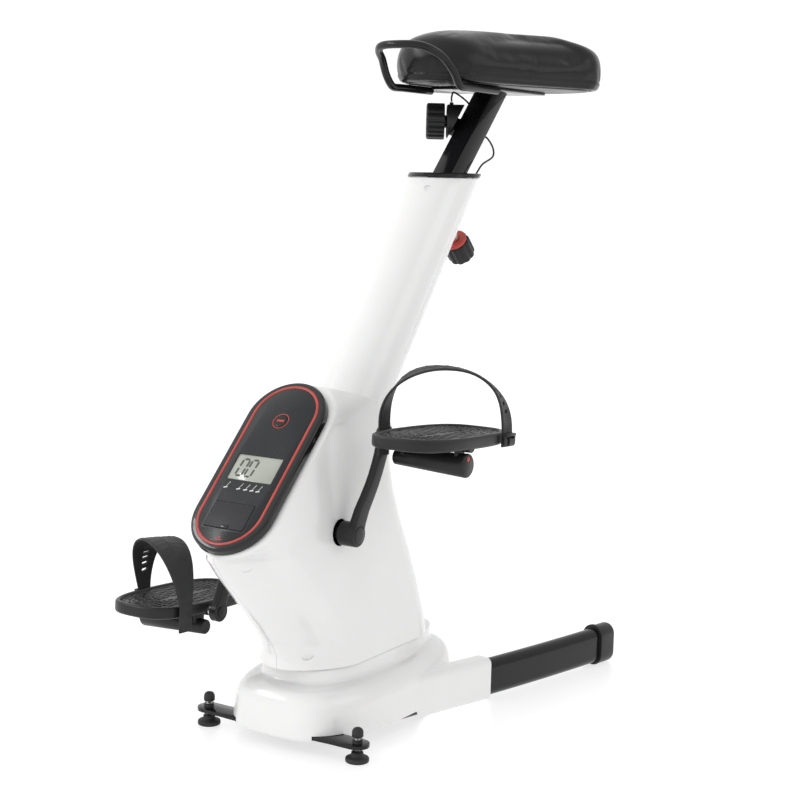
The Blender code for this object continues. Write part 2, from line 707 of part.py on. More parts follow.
def mast_ring(z, half_width, half_depth, count=32):
    middle = MAST_ORIGIN.y + (z - MAST_ORIGIN.z) * math.tan(MAST_TILT)
    points = []
    for i in range(count):
        angle = 2.0 * math.pi * i / count
        points.append(Vector((half_width * math.cos(angle), middle + half_depth * math.sin(angle), z)))
    return points


def mast_loft(grow, low, high):
    half_width = MAST_WIDTH / 2.0 + grow
    half_depth = MAST_DEPTH / 2.0 + grow
    return ring_loft([mast_ring(low, half_width, half_depth), mast_ring(high, half_width, half_depth)])


def console_outline(inset, steps=8):
    return stadium(CONSOLE_LENGTH - 2.0 * inset, CONSOLE_WIDTH - 2.0 * inset, steps)


for name, side in (("left_shell", 1.0), ("right_shell", -1.0)):
    shell = add(name, ring_loft([half_ring(z, 0.0, side, GAP / 2.0) for z in BODY_LEVELS]), WHITE)
    inner = [half_ring(z, BODY_WALL, side, -0.02) for z in BODY_LEVELS]
    below = [p + Vector((0.0, 0.0, -0.02)) for p in inner[0]]
    hollow = cutter_from(name + "_hollow", ring_loft([below] + inner))
    cut_above(hollow, name + "_hollow", -BODY_WALL)
    cut(shell, hollow)
    cut_above(shell, name, 0.0)
    cut(shell, cutter_from(name + "_mast", mast_loft(GAP, 0.36, 0.60)))
    bore_radius = CRANK_HUB_DIAMETER / 2.0 + 0.002
    bore = prism(circle(bore_radius, 24), 0.0, side * 0.2, x_axis_frame(0.0, CRANK_Y, CRANK_Z))
    cut(shell, cutter_from(name + "_bore", bore))
    window = prism(console_outline(CONSOLE_SEAT - GAP), -CONSOLE_DEPTH - 0.02, 0.02, CONSOLE_FRAME)
    cut(shell, cutter_from(name + "_console", window))

# Mast cover and its black collar
mast_cover = add("mast_cover", mast_loft(0.0, 0.40, MAST_TOP), WHITE)
cut(mast_cover, cutter_from("mast_inside", mast_loft(-MAST_WALL, 0.38, MAST_TOP + 0.02)))
foot_frame = side_frame(-MAST_INTO_BODY, joint_centre, MAST_AXIS)
cut(mast_cover, cutter_from("mast_foot", prism(rounded_rectangle(0.6, 0.6, 0.01), -0.6, 0.0, foot_frame)))
collar_low = MAST_TOP + GAP
half_x = MAST_WIDTH / 2.0 + COLLAR_LIP
half_y = MAST_DEPTH / 2.0 + COLLAR_LIP
collar_rings = [mast_ring(collar_low, half_x, half_y), mast_ring(COLLAR_TOP - 0.002, half_x, half_y),
                mast_ring(COLLAR_TOP, half_x - 0.002, half_y - 0.002)]
mast_collar = add("mast_collar", ring_loft(collar_rings), BLACK_PLASTIC)

# Square guide tube in the mast, its plastic sleeve and the seat post
POST_FRAME = aimed(POST_ORIGIN, POST_AXIS)
sleeve_inner = POST_SIDE + 2 * SLIDE_GAP
sleeve_outer = sleeve_inner + 2 * SLEEVE_THICKNESS
receiver_inner = sleeve_outer + 2 * GAP
receiver_outer = receiver_inner + 2 * RECEIVER_WALL


def square(side, radius=0.0025):
    return rounded_rectangle(side, side, radius, 2)


def square_tube(name, outer, inner, low, high, material):
    made = add(name, prism(square(outer), low, high, POST_FRAME), material)
    return cut(made, cutter_from(name + "_bore", prism(square(inner), low - 0.05, high + 0.05, POST_FRAME)))


def floor_cut(body, name, z, upward):
    """A level cut: takes away what lies above or below the height z."""
    low, high = (z, z + 0.5) if upward else (z - 0.5, z)
    cut(body, cutter_from(name, prism(rounded_rectangle(1.6, 1.6, 0.01), low, high)))


receiver_top = -COLLAR_THICKNESS / math.cos(POST_TILT) - 0.030
receiver_tube = square_tube("receiver_tube", receiver_outer, receiver_inner, receiver_top - RECEIVER_LENGTH,
                            receiver_top, BLACK_PAINT)
post_sleeve = square_tube("post_sleeve", sleeve_outer, sleeve_inner, receiver_top - 0.120, 0.06, BLACK_PLASTIC)
floor_cut(post_sleeve, "post_sleeve_top", COLLAR_TOP - 0.0005, True)
sleeve_hole = prism(square(sleeve_outer + 2 * GAP), -0.08, 0.08, POST_FRAME)
cut(mast_collar, cutter_from("collar_hole", sleeve_hole))

SEAT_STACK_TOP = SEAT_BOTTOM + SEAT_RECESS - GAP
board_low = SEAT_STACK_TOP - BOARD_THICKNESS
bracket_low = board_low - GAP - BRACKET_THICKNESS
post_top_length = (bracket_low - GAP - COLLAR_TOP) / math.cos(POST_TILT)
seat_post = square_tube("seat_post", POST_SIDE, POST_SIDE - 2 * POST_WALL, -POST_BELOW_COLLAR,
                        post_top_length + 0.05, BLACK_PAINT)
floor_cut(seat_post, "seat_post_top", bracket_low - GAP, True)

# Pull pin through the back of the mast into the guide tube
PULL_AXIS = -POST_FRONT
pull_origin = along_post(PULL_ALONG_POST)
PULL_FRAME = aimed(pull_origin, PULL_AXIS)
mast_back = 0.050
barrel_start = receiver_outer / 2.0 + GAP
barrel_end = mast_back + PULL_NECK
bore = PULL_PIN_DIAMETER / 2.0 + SLIDE_GAP
add("pull_barrel", tube_ring(PULL_BARREL_DIAMETER / 2.0, bore, barrel_start, barrel_end, PULL_FRAME, 20), STEEL)
mast_bore = prism(circle(PULL_BARREL_DIAMETER / 2.0 + GAP, 20), 0.02, 0.12, PULL_FRAME)
cut(mast_cover, cutter_from("mast_bore", mast_bore))
pin_bore = prism(circle(bore, 16), 0.0, 0.045, PULL_FRAME)
cut(receiver_tube, cutter_from("receiver_bore", pin_bore))
cut(post_sleeve, cutter_from("sleeve_pin_bore", prism(circle(bore, 16), 0.0, 0.045, PULL_FRAME)))
for k in range(-1, POST_HOLES - 1):
    hole_at = aimed(along_post(PULL_ALONG_POST - k * POST_HOLE_PITCH), PULL_AXIS)
    hole = prism(circle(POST_HOLE_DIAMETER / 2.0, 12), 0.005, 0.030, hole_at)
    cut(seat_post, cutter_from("post_hole", hole))
pin_start = POST_SIDE / 2.0 + GAP
knob_start = barrel_end + GAP


def fluted(radius, flute_depth, flutes, steps=4):
    """A round outline with shallow hollows pressed into it."""
    points = []
    count = flutes * steps
    for i in range(count):
        wave = (1.0 - math.cos(2.0 * math.pi * i / steps)) / 2.0
        r = radius - flute_depth * wave ** 2
        angle = 2.0 * math.pi * i / count
        points.append((r * math.cos(angle), r * math.sin(angle)))
    return points


pin = PULL_PIN_DIAMETER / 2.0
ring_end = knob_start + PULL_RING_LENGTH
knob_bm = prism(fluted(PULL_KNOB_DIAMETER / 2.0, 0.0022, PULL_FLUTES), ring_end, ring_end + PULL_KNOB_LENGTH,
                PULL_FRAME, bevel=0.005, bevel_low=0.003)
pull_knob = add("pull_knob", knob_bm, BLACK_PLASTIC)
add("pull_pin", turned([(0.0, pin_start), (pin - 0.001, pin_start), (pin, pin_start + 0.001),
                        (pin, ring_end + 0.012 - GAP), (0.0, ring_end + 0.012 - GAP)], PULL_FRAME, 16), STEEL)
cut(pull_knob, cutter_from("pull_knob_bore", prism(circle(pin + GAP, 16), 0.0, ring_end + 0.012, PULL_FRAME)))
add("pull_ring", tube_ring(PULL_KNOB_DIAMETER / 2.0 - 0.003, pin + GAP, knob_start, ring_end - GAP, PULL_FRAME, 28),
    RED)

# Console: housing, ring, window, button, battery door and what is behind them
console_housing = add("console_housing", prism(console_outline(0.0), -POD_BACK, 0.0, CONSOLE_FRAME, bevel=0.004),
                      BLACK_GLOSS)
back_box = prism(console_outline(CONSOLE_SEAT), -CONSOLE_DEPTH, -CONSOLE_WALL, CONSOLE_FRAME)
cut(console_housing, cutter_from("console_back", back_box), "UNION")
cavity = prism(console_outline(CONSOLE_SEAT + CONSOLE_WALL), -CONSOLE_DEPTH - 0.01, -CONSOLE_WALL, CONSOLE_FRAME)
cut(console_housing, cutter_from("console_cavity", cavity))


def console_frame(up):
    return aimed(console_point(up), CONSOLE_OUT, CONSOLE_UP)


def stadium_ring(length, width, stroke, low, high, frame, steps=12):
    outer = stadium(length, width, steps)
    inner = stadium(length - 2 * stroke, width - 2 * stroke, steps)
    bm = bmesh.new()
    rows = []
    for outline, level in ((outer, low), (outer, high), (inner, high), (inner, low)):
        rows.append([bm.verts.new(frame @ Vector((a, b, level))) for a, b in outline])
    for k in range(4):
        low_row = rows[k]
        high_row = rows[(k + 1) % 4]
        for i in range(len(outer)):
            j = (i + 1) % len(outer)
            bm.faces.new((low_row[i], low_row[j], high_row[j], high_row[i]))
    return bm


groove_depth = RING_HEIGHT - 0.0004
groove = stadium_ring(RING_LENGTH + 2 * GAP, RING_WIDTH + 2 * GAP, RING_STROKE + 2 * GAP,
                      -groove_depth - GAP, 0.01, CONSOLE_FRAME)
cut(console_housing, cutter_from("ring_groove", groove))
add("red_ring", stadium_ring(RING_LENGTH, RING_WIDTH, RING_STROKE, -groove_depth, RING_HEIGHT - groove_depth,
                             CONSOLE_FRAME), RED)
lcd_frame = console_frame(LCD_CENTRE - 0.018)
lcd_hole = prism(rounded_rectangle(LCD_HEIGHT + 2 * GAP, LCD_WIDTH + 2 * GAP, 0.003), -0.03, 0.01, lcd_frame)
cut(console_housing, cutter_from("lcd_hole", lcd_hole))
add("lcd_window", prism(rounded_rectangle(LCD_HEIGHT, LCD_WIDTH, 0.003), -CONSOLE_WALL - 0.003, -0.0006, lcd_frame),
    LCD_GREY)
button_frame = console_frame(BUTTON_CENTRE)
button = BUTTON_DIAMETER / 2.0
cut(console_housing, cutter_from("button_hole", prism(circle(button + SLIDE_GAP, 28), -0.03, 0.01, button_frame)))
button_low = 0.0012 - BUTTON_HEIGHT
add("mode_button", turned([(0.0, button_low), (button, button_low), (button, 0.0004), (button - 0.001, 0.0012),
                           (0.0, 0.0012)], button_frame, 28), BLACK_GLOSS)
door_frame = console_frame(DOOR_CENTRE)
door_recess = prism(rounded_rectangle(DOOR_HEIGHT + 2 * SLIDE_GAP, DOOR_WIDTH + 2 * SLIDE_GAP, 0.003),
                    DOOR_PROUD - DOOR_THICKNESS - GAP, 0.01, door_frame)
cut(console_housing, cutter_from("door_recess", door_recess))
cell_hole = prism(rounded_rectangle(DOOR_HEIGHT - 0.008, DOOR_WIDTH - 0.008, 0.003), -0.03, 0.01, door_frame)
cut(console_housing, cutter_from("cell_hole", cell_hole))
add("battery_door", prism(rounded_rectangle(DOOR_HEIGHT, DOOR_WIDTH, 0.003), DOOR_PROUD - DOOR_THICKNESS,
                          DOOR_PROUD, door_frame, bevel=0.0008), BLACK_PLASTIC)
BOARD_LEVEL = -CONSOLE_DEPTH + 0.0075
board_length = 0.125
board_frame = console_frame(0.030)
board_width = CONSOLE_WIDTH - 2.0 * (CONSOLE_SEAT + CONSOLE_WALL) - 0.004
circuit = prism(rounded_rectangle(board_length, board_width, 0.012), BOARD_LEVEL - 0.0016, BOARD_LEVEL,
                board_frame)
circuit_board = add("circuit_board", circuit, BOARD_GREEN, smooth=False)
display_block = prism(rounded_rectangle(LCD_HEIGHT - 0.004, LCD_WIDTH - 0.004, 0.002), BOARD_LEVEL - 0.001,
                      -CONSOLE_WALL - 0.003 - GAP, lcd_frame)
cut(circuit_board, cutter_from("display_block", display_block), "UNION")
switch_top = button_low - BUTTON_TRAVEL - GAP
cut(circuit_board, cutter_from("switch_block", prism(circle(0.004, 12), BOARD_LEVEL - 0.001, switch_top,
                                                     button_frame)), "UNION")
cell_level = DOOR_PROUD - DOOR_THICKNESS - GAP * 2 - CELL_DIAMETER / 2.0
cells = bmesh.new()
for k in (-1, 1):
    cell_frame = aimed(console_point(DOOR_CENTRE + k * 0.0062, -CELL_LENGTH / 2.0, cell_level), (1.0, 0.0, 0.0),
                       CONSOLE_UP)
    r = CELL_DIAMETER / 2.0
    turned([(0.0, 0.0), (r, 0.0), (r, CELL_LENGTH - 0.001), (0.002, CELL_LENGTH - 0.001), (0.002, CELL_LENGTH),
            (0.0, CELL_LENGTH)], cell_frame, 10, cells)
battery_cells = add("battery_cells", cells, STEEL)
contact = prism(rounded_rectangle(0.020, 0.007, 0.001, 1), -0.0006, 0.0004,
                aimed(console_point(DOOR_CENTRE, -CELL_LENGTH / 2.0, cell_level), (1.0, 0.0, 0.0), CONSOLE_UP))
cut(battery_cells, cutter_from("cell_contact", contact), "UNION")
tray = prism(rounded_rectangle(DOOR_HEIGHT + 0.006, DOOR_WIDTH + 0.006, 0.003), -CONSOLE_DEPTH, -CONSOLE_WALL
             + 0.001, door_frame)
cell_room = prism(rounded_rectangle(DOOR_HEIGHT - 0.010, DOOR_WIDTH - 0.010, 0.003), -CONSOLE_DEPTH + 0.0018,
                  0.01, door_frame)
tray_cutter = cutter_from("cell_tray", tray)
cut(tray_cutter, cutter_from("cell_room", cell_room))
cut(console_housing, tray_cutter, "UNION")

# Upright of the frame with the two plates that carry the flywheel
spine_low = ARM_TUBE_BOTTOM + ARM_TUBE_HEIGHT + GAP
spine_top = receiver_top - RECEIVER_LENGTH - GAP
spine_path = [Vector((0.0, SPINE_Y, spine_low)), Vector((0.0, SPINE_Y, 0.20)), Vector((0.0, SPINE_Y, 0.375)),
              Vector((0.0, SPINE_Y + 0.008, 0.405)), along_post(spine_top - 0.075), along_post(spine_top - 0.02),
              along_post(spine_top)]
spine_shape = rounded_rectangle(SPINE_WIDTH, SPINE_DEPTH, 0.004, 2)
frame_spine = add("frame_spine", swept(spine_path, spine_shape, (0.0, 1.0, 0.0)), BLACK_PAINT)
room_path = [spine_path[0] * 2.0 - spine_path[1]] + spine_path + [along_post(spine_top + 0.02)]
spine_room = rounded_rectangle(SPINE_WIDTH - 2.0 * TUBE_WALL, SPINE_DEPTH - 2.0 * TUBE_WALL, 0.003, 1)
cut(frame_spine, cutter_from("spine_room", swept(room_path, spine_room, (0.0, 1.0, 0.0))))
plate_inner = SPINE_WIDTH / 2.0 - 0.002
pivot_angle = math.radians(112.0)
rim = FLYWHEEL_DIAMETER / 2.0
arc_inner = rim + BRAKE_GAP
pivot_radius = arc_inner + BRAKE_THICKNESS / 2.0
pivot_y = FLYWHEEL_Y + pivot_radius * math.cos(pivot_angle)
pivot_z = FLYWHEEL_Z + pivot_radius * math.sin(pivot_angle)


def outline_plate(points, low, high, bm=None):
    """A flat plate cut from an outline of (y, z) points, standing between two x values."""
    return ring_loft([[Vector((x, y, z)) for y, z in points] for x in (low, high)], bm)


for side in (1.0, -1.0):
    ear = 0.012
    around = [(FLYWHEEL_Y + ear * math.cos(math.radians(a)), FLYWHEEL_Z + ear * math.sin(math.radians(a)))
              for a in (-80, -50, -20, 10, 40)]
    plate = [(SPINE_Y, FLYWHEEL_Z - 0.045)] + around + [(pivot_y + 0.010, pivot_z - 0.004),
                                                       (pivot_y + 0.007, pivot_z + 0.008),
                                                       (pivot_y - 0.007, pivot_z + 0.008), (SPINE_Y, pivot_z - 0.004)]
    low, high = sorted((side * plate_inner, side * (plate_inner + PLATE_THICKNESS)))
    cut(frame_spine, cutter_from("flywheel_plate", outline_plate(plate, low, high)), "UNION")
for y, z, radius in ((FLYWHEEL_Y, FLYWHEEL_Z, FLYWHEEL_AXLE_DIAMETER / 2.0), (pivot_y, pivot_z,
                                                                             PIVOT_DIAMETER / 2.0)):
    hole = prism(circle(radius + RUNNING_GAP, 20), -0.05, 0.05, x_axis_frame(0.0, y, z))
    cut(frame_spine, cutter_from("plate_hole", hole))
cover_window = prism(rounded_rectangle(SPINE_WIDTH + 0.010, 0.120, 0.008), 0.08, 0.14,
                     Matrix.Translation((0.0, SPINE_Y + 0.030, 0.0)))
cut(base_cover, cutter_from("cover_window", cover_window))

# Bottom bracket, bearings and the crank set
bracket_frame = x_axis_frame(0.0, CRANK_Y, CRANK_Z)
half_shell = BRACKET_SHELL_LENGTH / 2.0
seat_radius = BEARING_SEAT_DIAMETER / 2.0
shell_tube = prism(circle(BRACKET_SHELL_DIAMETER / 2.0, 20), -half_shell, half_shell, bracket_frame)
cut(frame_spine, cutter_from("bracket_shell", shell_tube), "UNION")
bracket_bore = prism(circle(seat_radius + GAP, 20), -half_shell - 0.01, half_shell + 0.01, bracket_frame)
cut(frame_spine, cutter_from("bracket_bore", bracket_bore))
axle_radius = AXLE_DIAMETER / 2.0
cartridge_half = half_shell - 0.001
add("bearing_cartridge", tube_ring(seat_radius, axle_radius + RUNNING_GAP, -cartridge_half, cartridge_half,
                                   bracket_frame, 20), STEEL)
axle_half = CRANK_HUB_OUTER - 0.006
add("crank_axle", prism(circle(axle_radius, 20), -axle_half, axle_half, bracket_frame, bevel=0.001,
                        bevel_low=0.001), STEEL)
pulley = PULLEY_DIAMETER / 2.0
half_pulley = PULLEY_WIDTH / 2.0
pulley_frame = x_axis_frame(PULLEY_X, CRANK_Y, CRANK_Z)
groove = 0.003
hub = axle_radius + GAP
pulley_profile = [(hub, -half_pulley), (pulley, -half_pulley), (pulley, -half_pulley + 0.0015),
                  (pulley - groove, -half_pulley + 0.0015), (pulley - groove, half_pulley - 0.0015),
                  (pulley, half_pulley - 0.0015), (pulley, half_pulley), (pulley - 0.012, half_pulley),
                  (pulley - 0.012, 0.001 - half_pulley + 0.004), (0.016, 0.005 - half_pulley),
                  (0.016, half_pulley), (hub, half_pulley)]
add("drive_pulley", ring_solid(pulley_profile, pulley_frame, 20), BLACK_PLASTIC)
small = SMALL_PULLEY_DIAMETER / 2.0
small_frame = x_axis_frame(PULLEY_X, FLYWHEEL_Y, FLYWHEEL_Z)
fly_axle = FLYWHEEL_AXLE_DIAMETER / 2.0
small_profile = [(fly_axle - 0.001, -half_pulley), (small, -half_pulley), (small, -half_pulley + 0.0015),
                 (small - groove, -half_pulley + 0.0015), (small - groove, half_pulley - 0.0015),
                 (small, half_pulley - 0.0015), (small, half_pulley), (fly_axle - 0.001, half_pulley)]
fly_frame = x_axis_frame(FLYWHEEL_X, FLYWHEEL_Y, FLYWHEEL_Z)
half_fly = FLYWHEEL_WIDTH / 2.0
fly_profile = [(fly_axle + GAP, -half_fly), (0.016, -half_fly), (0.016, -0.004), (rim - 0.022, -0.004),
               (rim - 0.022, -half_fly), (rim, -half_fly), (rim, half_fly), (rim - 0.022, half_fly),
               (rim - 0.022, 0.004), (0.016, 0.004), (0.016, half_fly), (fly_axle + GAP, half_fly)]
add("flywheel", ring_solid(fly_profile, fly_frame, 20), IRON)
fly_axle_low = -plate_inner - PLATE_THICKNESS - 0.006
flywheel_axle = add("flywheel_axle", prism(circle(fly_axle, 16), fly_axle_low, PULLEY_X + half_pulley + 0.003,
                                           x_axis_frame(0.0, FLYWHEEL_Y, FLYWHEEL_Z), bevel=0.001,
                                           bevel_low=0.001), STEEL)
cut(flywheel_axle, cutter_from("flywheel_pulley", ring_solid(small_profile, small_frame, 16)), "UNION")


def belt_outline(extra, steps=18):
    """Open belt round the two pulleys, as (y, z) points."""
    big = pulley - groove + GAP * 2 + extra
    little = small - groove + GAP * 2 + extra
    dy = FLYWHEEL_Y - CRANK_Y
    dz = FLYWHEEL_Z - CRANK_Z
    line = math.atan2(dz, dy)
    lean = math.acos((big - little) / math.hypot(dy, dz))
    points = []
    for i in range(steps + 1):
        angle = line + lean + (2.0 * math.pi - 2.0 * lean) * i / steps
        points.append((CRANK_Y + big * math.cos(angle), CRANK_Z + big * math.sin(angle)))
    for i in range(9):
        angle = line - lean + 2.0 * lean * i / 8.0
        points.append((FLYWHEEL_Y + little * math.cos(angle), FLYWHEEL_Z + little * math.sin(angle)))
    return points


half_belt = BELT_WIDTH / 2.0
belt_bm = bmesh.new()
belt_rows = []
for extra, x in ((BELT_THICKNESS, -half_belt), (BELT_THICKNESS, half_belt), (0.0, half_belt), (0.0, -half_belt)):
    belt_rows.append([belt_bm.verts.new(Vector((PULLEY_X + x, y, z))) for y, z in belt_outline(extra)])
for k in range(4):
    for i in range(len(belt_rows[0])):
        j = (i + 1) % len(belt_rows[0])
        belt_bm.faces.new((belt_rows[k][i], belt_rows[k][j], belt_rows[(k + 1) % 4][j], belt_rows[(k + 1) % 4][i]))
add("drive_belt", belt_bm, BLACK_RUBBER)

# Magnetic brake: an arm over the rim, with magnets that the cable lifts away
arc_steps = 8
brake_low = math.radians(52.0)
brake_rings = []
for i in range(arc_steps + 1):
    angle = brake_low + (pivot_angle - brake_low) * i / arc_steps
    across = Vector((0.0, math.cos(angle), math.sin(angle)))
    centre = Vector((FLYWHEEL_X, FLYWHEEL_Y, FLYWHEEL_Z))
    half = BRAKE_WIDTH / 2.0
    ring = [centre + across * r + Vector((x, 0.0, 0.0)) for r, x in
            ((arc_inner, -half), (arc_inner, half), (arc_inner + BRAKE_THICKNESS, half),
             (arc_inner + BRAKE_THICKNESS, -half))]
    brake_rings.append(ring)
brake_arm = add("brake_arm", ring_loft(brake_rings), STEEL, smooth=False)
pivot_half = plate_inner + PLATE_THICKNESS + 0.002
pivot_pin = prism(circle(PIVOT_DIAMETER / 2.0, 16), -pivot_half, pivot_half, x_axis_frame(0.0, pivot_y, pivot_z))
cut(brake_arm, cutter_from("brake_pivot", pivot_pin), "UNION")
magnet_angle = math.radians(70.0)
magnet_across = Vector((0.0, math.cos(magnet_angle), math.sin(magnet_angle)))
magnet_root = Vector((FLYWHEEL_X, FLYWHEEL_Y, FLYWHEEL_Z)) + magnet_across * (arc_inner - GAP)
magnet = prism(rounded_rectangle(BRAKE_WIDTH - 0.004, MAGNET_SIZE, 0.001, 1), 0.0004, MAGNET_THICKNESS,
               aimed(magnet_root, -magnet_across, (1.0, 0.0, 0.0)))
add("brake_magnet", magnet, STEEL, smooth=False)

# Crank arms: a hub on the axle, an arm that steps outwards, and an eye for the pedal spindle
crank_out = Vector((0.0, math.cos(CRANK_ANGLE), math.sin(CRANK_ANGLE)))


def crank_arm(name, side):
    reach = crank_out * side
    centre = Vector((0.0, CRANK_Y, CRANK_Z))
    hub_middle = (CRANK_HUB_INNER + CRANK_HUB_OUTER) / 2.0
    end_middle = (CRANK_END_INNER + CRANK_END_OUTER) / 2.0
    stations = [(0.000, hub_middle + 0.0075, 0.030), (0.25, hub_middle + 0.0115, 0.026),
                (0.50, end_middle - 0.0080, 0.023), (0.72, end_middle - 0.0028, 0.022),
                (0.88, end_middle - 0.0006, 0.023), (1.00, end_middle, 0.024)]
    across = Vector((0.0, -reach.z, reach.y))
    rings = []
    for share, x, width in stations:
        at = centre + reach * CRANK_RADIUS * share + Vector((side * x, 0.0, 0.0))
        ring = [at + across * b + Vector((a, 0.0, 0.0)) for a, b in
                rounded_rectangle(CRANK_ARM_THICKNESS, width, 0.004, 2)]
        rings.append(ring)
    arm = add(name, ring_loft(rings), BLACK_PAINT)
    low, high = sorted((side * CRANK_HUB_INNER, side * CRANK_HUB_OUTER))
    hub_solid = prism(circle(CRANK_HUB_DIAMETER / 2.0, 20), low, high, x_axis_frame(0.0, CRANK_Y, CRANK_Z),
                      bevel=0.002)
    cut(arm, cutter_from(name + "_hub", hub_solid), "UNION")
    eye = centre + reach * CRANK_RADIUS
    low, high = sorted((side * CRANK_END_INNER, side * CRANK_END_OUTER))
    eye_solid = prism(circle(0.0145, 16), low, high, x_axis_frame(0.0, eye.y, eye.z))
    cut(arm, cutter_from(name + "_eye", eye_solid), "UNION")
    low, high = sorted((0.0, side * (axle_half + GAP)))
    bore_solid = prism(circle(axle_radius + GAP, 20), low, high, x_axis_frame(0.0, CRANK_Y, CRANK_Z))
    cut(arm, cutter_from(name + "_bore", bore_solid))
    spindle_hole = prism(circle(SPINDLE_DIAMETER / 2.0 + GAP, 18), -0.3, 0.3, x_axis_frame(0.0, eye.y, eye.z))
    return cut(arm, cutter_from(name + "_spindle_hole", spindle_hole))


crank_arm("left_crank", 1.0)
crank_arm("right_crank", -1.0)


